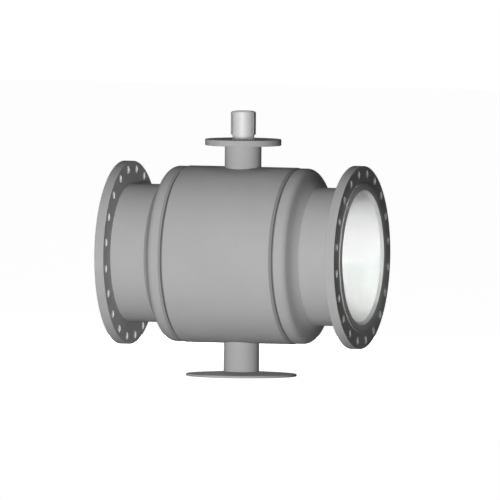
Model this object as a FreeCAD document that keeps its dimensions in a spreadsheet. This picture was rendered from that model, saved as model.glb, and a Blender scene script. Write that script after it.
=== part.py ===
import FreeCAD, Part
import Sketcher
import math
import os
import re

# Fully welded trunnion ball valve with flanged ends and a bare keyed stem, on a round foot.
# The pipe runs along X and the stem stands along Z. Z is 0 under the foot, and the valve is open.
# Outlines are drawn about the crossing of the pipe axis and the stem axis, and the placement of
# each body then lifts it to axis_height. The left and right sides mirror each other in X.

# Driving sizes: name, value (mm, degrees or a count), what it measures
SIZES = (
    ("axis_height", 555, "pipe axis above the underside of the foot"),
    ("face_to_face", 1165, "over the two raised faces"),
    ("ball_dia", 736, "sphere of the ball"),
    ("ball_bore_dia", 490, "reduced bore through the ball"),
    ("ball_flat_depth", 12, "height of the caps cut off at the top and bottom of the ball"),
    ("slot_depth", 60, "depth of the stem slot and of the trunnion socket in the ball"),
    ("ball_clearance", 13, "between the ball and the shell"),
    ("shell_wall", 24, "wall of the body shell"),
    ("shell_overrun", 4.1, "end of the shell outside the seat line"),
    ("weld_land", 4, "unbevelled wall at the root of the body weld"),
    ("weld_groove_width", 23, "V-groove of the body weld, at its mouth"),
    ("weld_fill", 6, "height of the root bead in the V-groove"),
    ("bead_radius", 8, "curve of the crown of each weld bead"),
    ("spigot_length", 31.5, "part of the closure that enters the shell"),
    ("spigot_wall", 36, "wall of that part"),
    ("closure_step", 2.5, "closure band below the outside of the shell"),
    ("closure_band", 25, "straight outside of the closure"),
    ("knuckle_radius", 33, "rounded shoulder of the closure"),
    ("flank_angle", 68, "slope of the flank that follows the shoulder"),
    ("flank_share", 0.345, "straight part of the drop from the shoulder to the neck"),
    ("lip_width", 8, "lip behind the seat pocket"),
    ("cone_length", 36, "cone from the seat bore to the neck bore"),
    ("neck_weld_width", 9, "butt weld between the closure and the neck tube"),
    ("pipe_bore_dia", 592, "bore of the neck tube and the flange"),
    ("neck_wall", 20.5, "wall of the neck tube"),
    ("neck_socket", 16.5, "depth of the neck tube inside the flange"),
    ("root_chamfer", 2, "chamfer on the inner end of the neck tube"),
    ("flange_thickness", 44, "pipe flange without its raised face"),
    ("raised_face_height", 5, "raised face above the bolting face"),
    ("raised_face_width", 33.5, "raised face outside the chamfered mouth"),
    ("mouth_chamfer", 13, "chamfer at the mouth of the bore"),
    ("bolt_offset", 42.5, "bolt circle outside the raised face"),
    ("bolt_margin", 35, "rim outside the bolt circle"),
    ("bolt_hole_dia", 37, "bolt holes of the pipe flange"),
    ("bolt_hole_count", 20, "bolt holes of the pipe flange"),
    ("edge_chamfer", 1.5, "broken edges of both kinds of flange"),
    ("seat_land", 12, "seat line outside the ball bore"),
    ("seat_width", 12, "width of the soft seat ring"),
    ("seat_depth", 12.6, "floor of the seat groove outside the seat line"),
    ("retainer_nose", 9.4, "front of the seat retainer inside the seat line"),
    ("retainer_tail", 58.6, "back of the seat retainer outside the seat line"),
    ("retainer_rim", 33.7, "outside of the seat retainer outside the seat line"),
    ("retainer_lip", 1, "retainer bore outside the ball bore"),
    ("retainer_relief", 1.2, "metal face of the retainer off the ball"),
    ("pocket_lead", 1.4, "mouth of the seat pocket inside the seat line"),
    ("seat_cord", 7.2, "cord of the seat O-ring"),
    ("seat_ring_place", 32.6, "seat O-ring outside the seat line"),
    ("cord_play", 0.4, "side play of an O-ring in its groove"),
    ("spring_height", 8, "room for the disc spring behind the retainer"),
    ("spring_thickness", 3, "plate of the disc spring"),
    ("spring_inset", 5, "inner edge of the disc spring outside the seat line"),
    ("spring_rim_gap", 3, "outer edge of the disc spring inside the pocket"),
    ("contact_gap", 0.3, "between curved faces that slide on each other"),
    ("running_gap", 0.05, "between a shaft and its bush"),
    ("face_gap", 0.2, "between flat faces that turn on each other"),
    ("stem_dia", 104, "stem shaft in its bushes"),
    ("stem_end_dia", 100, "end of the stem that the actuator turns"),
    ("stem_reach", 130, "stem above the top flange"),
    ("stem_chamfer", 5, "chamfer at the end of the stem"),
    ("centre_dia", 17, "centre hole in the end of the stem"),
    ("centre_depth", 8, "depth of the centre hole"),
    ("tongue_thickness", 60, "flats of the stem tongue"),
    ("tongue_floor_gap", 4, "under the tongue in its slot"),
    ("collar_lift", 4, "collar above the flat of the ball"),
    ("collar_height", 18, "blow-out collar of the stem"),
    ("collar_step", 14, "collar outside the stem shaft"),
    ("collar_gap", 1, "around the collar and the thrust washers"),
    ("washer_thickness", 6, "both thrust washers"),
    ("bush_wall", 6, "wall of all three bushes"),
    ("lower_bush_length", 40, "lower stem bush"),
    ("upper_bush_length", 20, "upper stem bush"),
    ("stem_cord", 4.8, "cord of the stem O-rings"),
    ("stem_ring_pitch", 16, "between the two stem O-rings"),
    ("packing_width", 10, "width of the stuffing box"),
    ("packing_ring_height", 6, "one of the three packing rings"),
    ("packing_gap", 0.2, "above each packing ring"),
    ("box_depth", 24, "stuffing box below the gland"),
    ("gland_pocket", 14, "pocket for the gland in the end of the housing"),
    ("gland_thickness", 12, "plate of the gland"),
    ("gland_rim", 16, "gland plate outside the stuffing box"),
    ("gland_screw_dia", 8, "shank of the gland screws"),
    ("gland_screw_reach", 20, "shank below the gland plate"),
    ("gland_screw_count", 6, "screws that hold the gland"),
    ("screw_head_dia", 13, "socket head of the gland screws"),
    ("screw_head_height", 8, "socket head of the gland screws"),
    ("screw_gap", 0.5, "around the gland screws"),
    ("hex_size", 6, "across the flats of the screw socket"),
    ("hex_depth", 4, "depth of the screw socket"),
    ("housing_lip", 6.15, "wall of the housing around the gland"),
    ("housing_drop", 10, "end of the housing above the underside of the collar"),
    ("head_rise", 126, "top flange face above the shell"),
    ("top_flange_thickness", 28, "actuator flange"),
    ("recess_depth", 5, "recess for the spigot of the actuator"),
    ("recess_ledge", 30.85, "floor of the recess outside the housing"),
    ("top_bolt_offset", 34, "bolt circle outside the recess"),
    ("top_bolt_margin", 26, "rim outside that bolt circle"),
    ("top_bolt_hole_dia", 22, "bolt holes of the top flange"),
    ("top_bolt_hole_count", 8, "bolt holes of the top flange"),
    ("key_width", 28, "both stem keys"),
    ("key_height", 16, "both stem keys, from the keyway floor"),
    ("key_depth", 10, "keyway in the stem"),
    ("key_length", 110, "both stem keys"),
    ("key_drop", 2, "top of the keys below the end of the stem"),
    ("key_chamfer", 6, "bevel at each end of the keys"),
    ("trunnion_dia", 104, "pin that the ball turns on"),
    ("trunnion_shoulder", 18.9, "body of the trunnion outside its pin"),
    ("trunnion_stub", 15, "trunnion below the outside of the shell"),
    ("washer_inset", 2, "lower thrust washer inside the trunnion shoulder"),
    ("support_fit", 0.1, "around the trunnion in the support tube"),
    ("support_wall", 10, "wall of the support tube"),
    ("foot_dia", 508, "foot plate"),
    ("foot_rim", 10.4, "thickness of the foot plate at its rim"),
    ("foot_crown", 21, "thickness of the foot plate under the tube"),
    ("foot_round", 4, "rounded rim of the foot plate"),
)

# Radii about the pipe axis
BALL_R = "(ball_dia / 2)"
BORE_R = "(ball_bore_dia / 2)"
SHELL_IN = f"({BALL_R} + ball_clearance)"
SHELL_OUT = f"({SHELL_IN} + shell_wall)"
GROOVE_ROOT = f"({SHELL_IN} + weld_land)"
CLOSURE_R = f"({SHELL_OUT} - closure_step)"
NECK_IN = "(pipe_bore_dia / 2)"
NECK_OUT = f"({NECK_IN} + neck_wall)"
MOUTH_R = f"({NECK_IN} + mouth_chamfer)"
RAISED_R = f"({MOUTH_R} + raised_face_width)"
BOLT_R = f"({RAISED_R} + bolt_offset)"
FLANGE_R = f"({BOLT_R} + bolt_margin)"
SEAT_R = f"({BORE_R} + seat_land)"
RETAINER_IN = f"({BORE_R} + retainer_lip)"
RETAINER_OUT = f"({SEAT_R} + retainer_rim)"
RETAINER_FACE_R = f"({BALL_R} + retainer_relief)"
SEAT_FACE_R = f"({BALL_R} + contact_gap)"
SEAT_IN = f"({SEAT_R} - seat_width / 2)"
SEAT_OUT = f"({SEAT_R} + seat_width / 2)"
POCKET_R = f"({RETAINER_OUT} + contact_gap + contact_gap)"
SEAT_CORD_R = f"({POCKET_R} - contact_gap - seat_cord / 2)"
SPRING_IN = f"({SEAT_R} + spring_inset)"
SPRING_OUT = f"({POCKET_R} - spring_rim_gap)"

# Stations along the pipe, from the stem axis outwards
SEAT_X = f"sqrt({BALL_R} ^ 2 - {SEAT_R} ^ 2)"
RETAINER_FRONT = f"({SEAT_X} - retainer_nose)"
RETAINER_BACK = f"({SEAT_X} + retainer_tail)"
SEAT_CORD_X = f"({SEAT_X} + seat_ring_place)"
POCKET_MOUTH = f"({SEAT_X} - pocket_lead)"
POCKET_FLOOR = f"({RETAINER_BACK} + spring_height)"
LIP_END = f"({POCKET_FLOOR} + lip_width)"
CLOSURE_END = f"({LIP_END} + cone_length)"
NECK_START = f"({CLOSURE_END} + neck_weld_width)"
SHELL_END = f"({SEAT_X} + shell_overrun)"
GROOVE_HALF = "(weld_groove_width / 2)"
BAND_END = f"({SHELL_END} + {GROOVE_HALF} + closure_band)"
HALF_LENGTH = "(face_to_face / 2)"
BOLT_FACE = f"({HALF_LENGTH} - raised_face_height)"
FLANGE_BACK = f"({BOLT_FACE} - flange_thickness)"
NECK_END = f"({FLANGE_BACK} + neck_socket)"

# Radii about the stem axis
STEM_R = "(stem_dia / 2)"
STEM_END_R = "(stem_end_dia / 2)"
COLLAR_R = f"({STEM_R} + collar_step)"
BUSH_R = f"({STEM_R} + bush_wall)"
LAND_R = f"({STEM_R} + contact_gap)"
STEM_CORD_R = f"({STEM_R} - stem_cord / 2)"
BOX_R = f"({STEM_R} + packing_width)"
SCREW_R = f"({BOX_R} + gland_rim / 2)"
GLAND_R = f"({BOX_R} + gland_rim)"
HOUSING_R = f"({GLAND_R} + housing_lip)"
RECESS_R = f"({HOUSING_R} + recess_ledge)"
TOP_BOLT_R = f"({RECESS_R} + top_bolt_offset)"
TOP_FLANGE_R = f"({TOP_BOLT_R} + top_bolt_margin)"
KEY_FLOOR = f"({STEM_END_R} - key_depth)"
KEY_TOP_R = f"({KEY_FLOOR} + key_height)"
PIN_R = "(trunnion_dia / 2)"
TRUNNION_R = f"({PIN_R} + trunnion_shoulder)"
SUPPORT_IN = f"({TRUNNION_R} + support_fit)"
SUPPORT_OUT = f"({SUPPORT_IN} + support_wall)"

# Heights from the pipe axis
BALL_FLAT = f"({BALL_R} - ball_flat_depth)"
SLOT_FLOOR = f"({BALL_FLAT} - slot_depth)"
TONGUE_END = f"({SLOT_FLOOR} + tongue_floor_gap)"
COLLAR_BOTTOM = f"({BALL_FLAT} + collar_lift)"
COLLAR_TOP = f"({COLLAR_BOTTOM} + collar_height)"
WASHER_FLOOR = f"({COLLAR_TOP} + face_gap)"
WASHER_TOP = f"({WASHER_FLOOR} + washer_thickness)"
HOUSING_BOTTOM = f"({COLLAR_BOTTOM} + housing_drop)"
LOWER_BUSH_TOP = f"({WASHER_TOP} + lower_bush_length)"
HEAD_TOP = f"({SHELL_OUT} + head_rise)"
HEAD_BOTTOM = f"({HEAD_TOP} - top_flange_thickness)"
HOUSING_TOP = f"({HEAD_TOP} - recess_depth)"
GLAND_SEAT = f"({HOUSING_TOP} - gland_pocket)"
GLAND_TOP = f"({GLAND_SEAT} + gland_thickness)"
BOX_FLOOR = f"({GLAND_SEAT} - box_depth)"
PACKING_PITCH = "(packing_ring_height + packing_gap)"
PACKING_TOP = f"({BOX_FLOOR} + 3 * {PACKING_PITCH})"
UPPER_BUSH_BOTTOM = f"({BOX_FLOOR} - upper_bush_length)"
LAND_MIDDLE = f"(({LOWER_BUSH_TOP} + {UPPER_BUSH_BOTTOM}) / 2)"
STEM_TOP = f"({HEAD_TOP} + stem_reach)"
KEY_TOP = f"({STEM_TOP} - key_drop)"
KEY_BOTTOM = f"({KEY_TOP} - key_length)"
SCREW_SEAT = f"({GLAND_TOP} - screw_head_height - screw_gap)"
TRUNNION_SHOULDER = f"(0 - {BALL_FLAT} - face_gap - washer_thickness)"
TRUNNION_BOTTOM = f"(0 - {SHELL_OUT} - trunnion_stub)"
FOOT_SEAT = "(foot_crown - axis_height)"

PIPE_AXIS = "H_Axis"
STEM_AXIS = "V_Axis"
LEFT_TURN = 1
RIGHT_TURN = -1
SMOOTH = 0
FUNCTIONS = ("sqrt", "sin", "cos", "tan")
ORIGIN = -1
ACROSS_AXIS, UP_AXIS = range(-1, -3, -1)
START, END, CENTRE = range(1, 4)

doc = FreeCAD.newDocument("FlangedBallValve")
sheet = doc.addObject("Spreadsheet::Sheet", "Sizes")
for row, (size_name, size_value, size_note) in enumerate(SIZES, start=1):
    sheet.set(f"A{row}", size_name)
    sheet.set(f"B{row}", str(size_value))
    sheet.set(f"C{row}", size_note)
    sheet.setAlias(f"B{row}", size_name)
doc.recompute()


def tied(text):
    """The expression with each size name pointed at its cell."""
    return re.sub(r"[a-z_]+", lambda word: word[0] if word[0] in FUNCTIONS else f"Sizes.{word[0]}", text)


def value(text):
    """The number that an expression has at the present sizes."""
    found = sheet.evalExpression(tied(text))
    return float(getattr(found, "Value", found))


def new_body(label, lift="axis_height"):
    """An empty body that stands lift above the underside of the foot."""
    body = doc.addObject("PartDesign::Body", label)
    body.Label = label
    body.AllowCompound = True
    body.setExpression("Placement.Base.z", tied(lift))
    return body


def origin_feature(body, role):
    """The origin plane or axis of a body, by its role."""
    return next(item for item in body.Origin.OriginFeatures if item.Role == role)


def new_sketch(body, role, name, offset="0"):
    """A sketch on one of the body's own planes, moved along the plane's normal."""
    sketch = body.newObject("Sketcher::SketchObject", f"{body.Label}_{name}")
    sketch.AttachmentSupport = [(origin_feature(body, role), "")]
    sketch.MapMode = "FlatFace"
    sketch.setExpression("AttachmentOffset.Base.z", tied(offset))
    return sketch


def dimension(sketch, kind, text, *geometry):
    """A sketch dimension that follows an expression."""
    index = sketch.addConstraint(Sketcher.Constraint(kind, *geometry, value(text)))
    sketch.setExpression(f"Constraints[{index}]", tied(text))


def place_point(sketch, geometry, point, across, up, side=1):
    """Ties a point to the sketch axes, by expressions for its two coordinates."""
    if across == "0":
        sketch.addConstraint(Sketcher.Constraint("PointOnObject", geometry, point, UP_AXIS))
    else:
        dimension(sketch, "DistanceX", f"{side} * {across}", ORIGIN, START, geometry, point)
    if up == "0":
        sketch.addConstraint(Sketcher.Constraint("PointOnObject", geometry, point, ACROSS_AXIS))
    else:
        dimension(sketch, "DistanceY", up, ORIGIN, START, geometry, point)


def quarter_turn(vector):
    """The vector turned left by a right angle."""
    return FreeCAD.Vector(-vector.y, vector.x, 0)


def arc_centre(here, there, heading, turn, radius):
    """Centre of the arc from here to there, and whether it turns left.

    A smooth arc leaves along heading. Any other is the shorter arc of that radius, on its side.
    """
    chord = there - here
    if turn == SMOOTH:
        normal = quarter_turn(heading).normalize()
        reach = chord.dot(chord) / (2 * chord.dot(normal))
        return here + normal * reach, reach > 0
    reach = math.sqrt(radius**2 - (chord.Length / 2) ** 2)
    normal = quarter_turn(chord).normalize()
    return (here + there) * 0.5 + normal * reach * turn, turn == LEFT_TURN


def draw_outline(sketch, corners, side=1):
    """A closed outline, with an edge from each corner to the next.

    A corner is (x, y), two expressions. (x, y, turn, radius) leaves along an arc that turns left
    or right, and (x, y, SMOOTH, "") along an arc that carries on from the edge before. side -1
    mirrors the outline in the upright axis.
    """
    points = [FreeCAD.Vector(side * value(corner[0]), value(corner[1]), 0) for corner in corners]
    edges = []
    heading = FreeCAD.Vector(1, 0, 0)
    for index, corner in enumerate(corners):
        here = points[index]
        there = points[(index + 1) % len(points)]
        if len(corner) == 2:
            edge = sketch.addGeometry(Part.LineSegment(here, there), False)
            edges.append((edge, START, END))
            heading = there - here
            continue
        turn, radius = corner[2:]
        centre, turns_left = arc_centre(here, there, heading, turn * side, value(radius or "0"))
        start, stop = (here, there) if turns_left else (there, here)
        circle = Part.Circle(centre, FreeCAD.Vector(0, 0, 1), (here - centre).Length)
        arc = Part.ArcOfCircle(circle, circle.parameter(start), circle.parameter(stop))
        edge = sketch.addGeometry(arc, False)
        ends = (START, END) if turns_left else (END, START)
        edges.append((edge, *ends))
        heading = quarter_turn(there - centre) * (1 if turns_left else -1)
        if radius:
            dimension(sketch, "Radius", radius, edge)
    for index, corner in enumerate(corners):
        edge, start, _ = edges[index]
        before, _, end = edges[index - 1]
        joint = "Tangent" if len(corner) > 2 and corner[2] == SMOOTH else "Coincident"
        sketch.addConstraint(Sketcher.Constraint(joint, before, end, edge, start))
        place_point(sketch, edge, start, corner[0], corner[1], side)


def draw_circle(sketch, across, up, radius, side=1):
    """A circle tied to expressions for its centre and radius."""
    centre = FreeCAD.Vector(side * value(across), value(up), 0)
    shape = Part.Circle(centre, FreeCAD.Vector(0, 0, 1), value(radius))
    circle = sketch.addGeometry(shape, False)
    place_point(sketch, circle, CENTRE, across, up, side)
    dimension(sketch, "Radius", radius, circle)


def revolve(body, sketch, axis, kind="Revolution"):
    """Turns a profile about the pipe axis or the stem axis, as a solid or as a groove."""
    feature = body.newObject(f"PartDesign::{kind}", f"{sketch.Name}_{kind.lower()}")
    feature.Profile = sketch
    feature.ReferenceAxis = (sketch, [axis])
    feature.Angle = 360
    doc.recompute()
    return feature


def turned(label, axis, *outlines, side=1, lift="axis_height"):
    """A body turned from one or more closed outlines."""
    body = new_body(label, lift)
    sketch = new_sketch(body, "XZ_Plane", "profile")
    for outline in outlines:
        draw_outline(sketch, outline, side)
    revolve(body, sketch, axis)
    return body


def pad(body, sketch, length, side_type="One side", down=False):
    """Extrudes a sketch by an expression for its length."""
    feature = body.newObject("PartDesign::Pad", f"{sketch.Name}_pad")
    feature.Profile = sketch
    feature.SideType = side_type
    feature.Reversed = down
    feature.setExpression("Length", tied(length))
    doc.recompute()
    return feature


def pocket(body, sketch, length="", side_type="One side", up=False):
    """Cuts a sketch out of a body, right through where no length is given."""
    volume = body.Shape.Volume
    feature = body.newObject("PartDesign::Pocket", f"{sketch.Name}_pocket")
    feature.Profile = sketch
    feature.SideType = side_type
    feature.Reversed = up
    if length:
        feature.setExpression("Length", tied(length))
    else:
        feature.Type = "ThroughAll"
    doc.recompute()
    if body.Shape.Volume >= volume:
        raise ValueError(f"{feature.Name} cuts nothing")
    return feature


def ring_of(body, features, axis_role, count):
    """Repeats features around one of the body's axes."""
    pattern = body.newObject("PartDesign::PolarPattern", f"{features[0].Name}_ring")
    pattern.Originals = features
    pattern.Axis = (origin_feature(body, axis_role), [""])
    pattern.setExpression("Occurrences", tied(count))
    body.Tip = pattern
    doc.recompute()
    return pattern


def ring_outline(inner, outer, low, high):
    """Section of a plain ring about the stem axis."""
    return ((inner, low), (outer, low), (outer, high), (inner, high))


def blade_outline(radius, half_thickness):
    """Section of a round bar with two flats, across the stem axis."""
    reach = f"sqrt({radius} ^ 2 - {half_thickness} ^ 2)"
    low = f"(0 - {half_thickness})"
    return (
        (f"(0 - {reach})", low),
        (reach, low, LEFT_TURN, radius),
        (reach, half_thickness),
        (f"(0 - {reach})", half_thickness, LEFT_TURN, radius),
    )


def make_body_shell():
    """Thick tube with bevelled ends, open at the top for the housing and below for the trunnion."""
    bevel = f"({SHELL_END} - {GROOVE_HALF})"
    shell = turned(
        "body_shell",
        PIPE_AXIS,
        (
            (f"(0 - {SHELL_END})", SHELL_IN),
            (SHELL_END, SHELL_IN),
            (SHELL_END, GROOVE_ROOT),
            (bevel, SHELL_OUT),
            (f"(0 - {bevel})", SHELL_OUT),
            (f"(0 - {SHELL_END})", GROOVE_ROOT),
        ),
    )
    for name, radius, up in (("housing_hole", HOUSING_R, True), ("trunnion_hole", TRUNNION_R, False)):
        sketch = new_sketch(shell, "XY_Plane", name)
        draw_circle(sketch, "0", "0", radius)
        pocket(shell, sketch, up=up)
    return shell


def make_end_closure(name, side):
    """Forged reducer: spigot, bevel, band, rounded shoulder, flank and sweep down to the neck."""
    shoulder_x = f"({BAND_END} + knuckle_radius * sin(flank_angle))"
    shoulder_r = f"({CLOSURE_R} - knuckle_radius * (1 - cos(flank_angle)))"
    flank_drop = f"(({shoulder_r} - {NECK_OUT}) * flank_share)"
    flank_x = f"({shoulder_x} + {flank_drop} / tan(flank_angle))"
    flank_r = f"({shoulder_r} - {flank_drop})"
    spigot_in = f"({SHELL_IN} - spigot_wall)"
    return turned(
        f"{name}_end_closure",
        PIPE_AXIS,
        (
            (f"({SHELL_END} - spigot_length)", spigot_in),
            (f"({SHELL_END} - spigot_length)", SHELL_IN),
            (SHELL_END, SHELL_IN),
            (SHELL_END, GROOVE_ROOT),
            (f"({SHELL_END} + {GROOVE_HALF})", CLOSURE_R),
            (BAND_END, CLOSURE_R, RIGHT_TURN, "knuckle_radius"),
            (shoulder_x, shoulder_r),
            (flank_x, flank_r, SMOOTH, ""),
            (CLOSURE_END, NECK_OUT),
            (CLOSURE_END, NECK_IN),
            (LIP_END, RETAINER_IN),
            (POCKET_FLOOR, RETAINER_IN),
            (POCKET_FLOOR, POCKET_R),
            (POCKET_MOUTH, POCKET_R),
            (POCKET_MOUTH, spigot_in),
        ),
        side=side,
    )


def make_body_weld(name, side):
    """Root bead at the bottom of the V-groove, with a slightly crowned face."""
    crown = f"({GROOVE_ROOT} + weld_fill)"
    shell_run = f"({GROOVE_HALF} * weld_fill / ({SHELL_OUT} - {GROOVE_ROOT}))"
    closure_run = f"({GROOVE_HALF} * weld_fill / ({CLOSURE_R} - {GROOVE_ROOT}))"
    return turned(
        f"{name}_body_weld",
        PIPE_AXIS,
        (
            (SHELL_END, GROOVE_ROOT),
            (f"({SHELL_END} + {closure_run})", crown, LEFT_TURN, "bead_radius"),
            (f"({SHELL_END} - {shell_run})", crown),
        ),
        side=side,
    )


def make_neck_weld(name, side):
    """Butt weld that joins the closure to the neck tube."""
    return turned(
        f"{name}_neck_weld",
        PIPE_AXIS,
        (
            (CLOSURE_END, NECK_IN),
            (NECK_START, NECK_IN),
            (NECK_START, NECK_OUT, LEFT_TURN, "bead_radius"),
            (CLOSURE_END, NECK_OUT),
        ),
        side=side,
    )


def make_neck_tube(name, side):
    """Tube from the neck weld into the socket of the flange."""
    return turned(
        f"{name}_neck_tube",
        PIPE_AXIS,
        (
            (NECK_START, NECK_IN),
            (f"({NECK_END} - root_chamfer)", NECK_IN),
            (NECK_END, f"({NECK_IN} + root_chamfer)"),
            (NECK_END, NECK_OUT),
            (NECK_START, NECK_OUT),
        ),
        side=side,
    )


def make_flange(name, side):
    """Pipe flange: socket for the neck, raised face, chamfered mouth and a ring of bolt holes."""
    flange = turned(
        f"{name}_flange",
        PIPE_AXIS,
        (
            (FLANGE_BACK, NECK_OUT),
            (NECK_END, NECK_OUT),
            (NECK_END, NECK_IN),
            (f"({HALF_LENGTH} - mouth_chamfer)", NECK_IN),
            (HALF_LENGTH, MOUTH_R),
            (HALF_LENGTH, RAISED_R),
            (BOLT_FACE, RAISED_R),
            (BOLT_FACE, f"({FLANGE_R} - edge_chamfer)"),
            (f"({BOLT_FACE} - edge_chamfer)", FLANGE_R),
            (f"({FLANGE_BACK} + edge_chamfer)", FLANGE_R),
            (FLANGE_BACK, f"({FLANGE_R} - edge_chamfer)"),
        ),
        side=side,
    )
    half_pitch = "(180 / bolt_hole_count)"
    sketch = new_sketch(flange, "YZ_Plane", "bolt_hole")
    across, up = (f"({BOLT_R} * {ratio}({half_pitch}))" for ratio in ("sin", "cos"))
    draw_circle(sketch, across, up, "(bolt_hole_dia / 2)")
    hole = pocket(flange, sketch, side_type="Symmetric")
    ring_of(flange, [hole], "X_Axis", "bolt_hole_count")
    return flange


def make_seat_retainer(name, side):
    """Sliding steel ring with a groove for the soft seat in its face and one for its O-ring."""
    groove_floor_x = f"({SEAT_X} + seat_depth)"
    cord_half = "(seat_cord / 2 + cord_play)"
    cord_floor = f"({SEAT_CORD_R} - seat_cord / 2)"

    def face_x(radius):
        return f"sqrt({RETAINER_FACE_R} ^ 2 - {radius} ^ 2)"

    front_r = f"sqrt({RETAINER_FACE_R} ^ 2 - {RETAINER_FRONT} ^ 2)"
    return turned(
        f"{name}_seat_retainer",
        PIPE_AXIS,
        (
            (face_x(RETAINER_IN), RETAINER_IN),
            (RETAINER_BACK, RETAINER_IN),
            (RETAINER_BACK, RETAINER_OUT),
            (f"({SEAT_CORD_X} + {cord_half})", RETAINER_OUT),
            (f"({SEAT_CORD_X} + {cord_half})", cord_floor),
            (f"({SEAT_CORD_X} - {cord_half})", cord_floor),
            (f"({SEAT_CORD_X} - {cord_half})", RETAINER_OUT),
            (RETAINER_FRONT, RETAINER_OUT),
            (RETAINER_FRONT, front_r, RIGHT_TURN, RETAINER_FACE_R),
            (face_x(SEAT_OUT), SEAT_OUT),
            (groove_floor_x, SEAT_OUT),
            (groove_floor_x, SEAT_IN),
            (face_x(SEAT_IN), SEAT_IN, RIGHT_TURN, RETAINER_FACE_R),
        ),
        side=side,
    )


def make_seat_ring(name, side):
    """Soft seat with a face that follows the ball."""
    floor_x = f"({SEAT_X} + seat_depth)"
    return turned(
        f"{name}_seat_ring",
        PIPE_AXIS,
        (
            (f"sqrt({SEAT_FACE_R} ^ 2 - {SEAT_IN} ^ 2)", SEAT_IN),
            (floor_x, SEAT_IN),
            (floor_x, SEAT_OUT),
            (f"sqrt({SEAT_FACE_R} ^ 2 - {SEAT_OUT} ^ 2)", SEAT_OUT, RIGHT_TURN, SEAT_FACE_R),
        ),
        side=side,
    )


def make_seat_o_ring(name, side):
    """Round cord in the groove of the retainer."""
    body = new_body(f"{name}_seat_o_ring")
    sketch = new_sketch(body, "XZ_Plane", "profile")
    draw_circle(sketch, SEAT_CORD_X, SEAT_CORD_R, "(seat_cord / 2)", side)
    revolve(body, sketch, PIPE_AXIS)
    return body


def make_seat_spring(name, side):
    """Disc spring: a flat cone between the retainer and the floor of its pocket."""
    near = f"({RETAINER_BACK} + face_gap)"
    return turned(
        f"{name}_seat_spring",
        PIPE_AXIS,
        (
            (near, SPRING_IN),
            (f"({near} + spring_thickness)", SPRING_IN),
            (POCKET_FLOOR, SPRING_OUT),
            (f"({POCKET_FLOOR} - spring_thickness)", SPRING_OUT),
        ),
        side=side,
    )


def make_ball():
    """Drilled sphere with flats at top and bottom, a slot for the stem and a trunnion socket."""
    bore_end = f"sqrt({BALL_R} ^ 2 - {BORE_R} ^ 2)"
    ball = turned(
        "ball",
        PIPE_AXIS,
        ((f"(0 - {bore_end})", BORE_R), (bore_end, BORE_R, LEFT_TURN, BALL_R)),
    )
    flats = new_sketch(ball, "XZ_Plane", "flats")
    cap_r = f"({BALL_R} / 2)"
    beyond = f"({BALL_R} + face_gap)"
    for flat, end in ((BALL_FLAT, beyond), (f"(0 - {BALL_FLAT})", f"(0 - {beyond})")):
        draw_outline(flats, (("0", flat), (cap_r, flat), (cap_r, end), ("0", end)))
    revolve(ball, flats, STEM_AXIS, "Groove")
    slot = new_sketch(ball, "XY_Plane", "slot", BALL_FLAT)
    draw_outline(slot, blade_outline(LAND_R, "(tongue_thickness / 2 + contact_gap)"))
    pocket(ball, slot, "slot_depth")
    socket = new_sketch(ball, "XY_Plane", "socket", f"(0 - {BALL_FLAT})")
    draw_circle(socket, "0", "0", f"({PIN_R} + bush_wall)")
    pocket(ball, socket, "slot_depth", up=True)
    return ball


def make_stem():
    """Shaft with a blow-out collar, O-ring grooves, a tongue for the ball and two keyways."""
    cord_half = "(stem_cord / 2 + cord_play)"
    groove_r = f"({STEM_CORD_R} - stem_cord / 2)"
    grooves = []
    for sign in ("-", "+"):
        middle = f"({LAND_MIDDLE} {sign} stem_ring_pitch / 2)"
        grooves.append((STEM_R, f"({middle} - {cord_half})"))
        grooves.append((groove_r, f"({middle} - {cord_half})"))
        grooves.append((groove_r, f"({middle} + {cord_half})"))
        grooves.append((STEM_R, f"({middle} + {cord_half})"))
    stem = turned(
        "stem",
        STEM_AXIS,
        (
            ("0", COLLAR_BOTTOM),
            (COLLAR_R, COLLAR_BOTTOM),
            (COLLAR_R, COLLAR_TOP),
            (STEM_R, COLLAR_TOP),
            *grooves,
            (STEM_R, HOUSING_TOP),
            (STEM_END_R, HOUSING_TOP),
            (STEM_END_R, f"({STEM_TOP} - stem_chamfer)"),
            (f"({STEM_END_R} - stem_chamfer)", STEM_TOP),
            ("(centre_dia / 2)", STEM_TOP),
            ("(centre_dia / 2)", f"({STEM_TOP} - centre_depth)"),
            ("0", f"({STEM_TOP} - centre_depth - centre_dia / 4)"),
        ),
    )
    tongue = new_sketch(stem, "XY_Plane", "tongue", COLLAR_BOTTOM)
    draw_outline(tongue, blade_outline(STEM_R, "(tongue_thickness / 2)"))
    pad(stem, tongue, f"({COLLAR_BOTTOM} - {TONGUE_END})", down=True)
    keyways = new_sketch(stem, "XZ_Plane", "keyways")
    beyond = f"({STEM_TOP} + face_gap)"
    outline = (
        (KEY_FLOOR, KEY_BOTTOM),
        (f"({STEM_END_R} + face_gap)", KEY_BOTTOM),
        (f"({STEM_END_R} + face_gap)", beyond),
        (KEY_FLOOR, beyond),
    )
    for side in (1, -1):
        draw_outline(keyways, outline, side)
    pocket(stem, keyways, "key_width", "Symmetric")
    return stem


def make_key(name, side):
    """Feather key with bevelled ends, standing proud of the stem."""
    key = new_body(f"{name}_key")
    sketch = new_sketch(key, "XZ_Plane", "profile")
    outline = (
        (KEY_FLOOR, KEY_BOTTOM),
        (f"({KEY_TOP_R} - key_chamfer)", KEY_BOTTOM),
        (KEY_TOP_R, f"({KEY_BOTTOM} + key_chamfer)"),
        (KEY_TOP_R, f"({KEY_TOP} - key_chamfer)"),
        (f"({KEY_TOP_R} - key_chamfer)", KEY_TOP),
        (KEY_FLOOR, KEY_TOP),
    )
    draw_outline(sketch, outline, side)
    pad(key, sketch, "key_width", "Symmetric")
    return key


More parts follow.
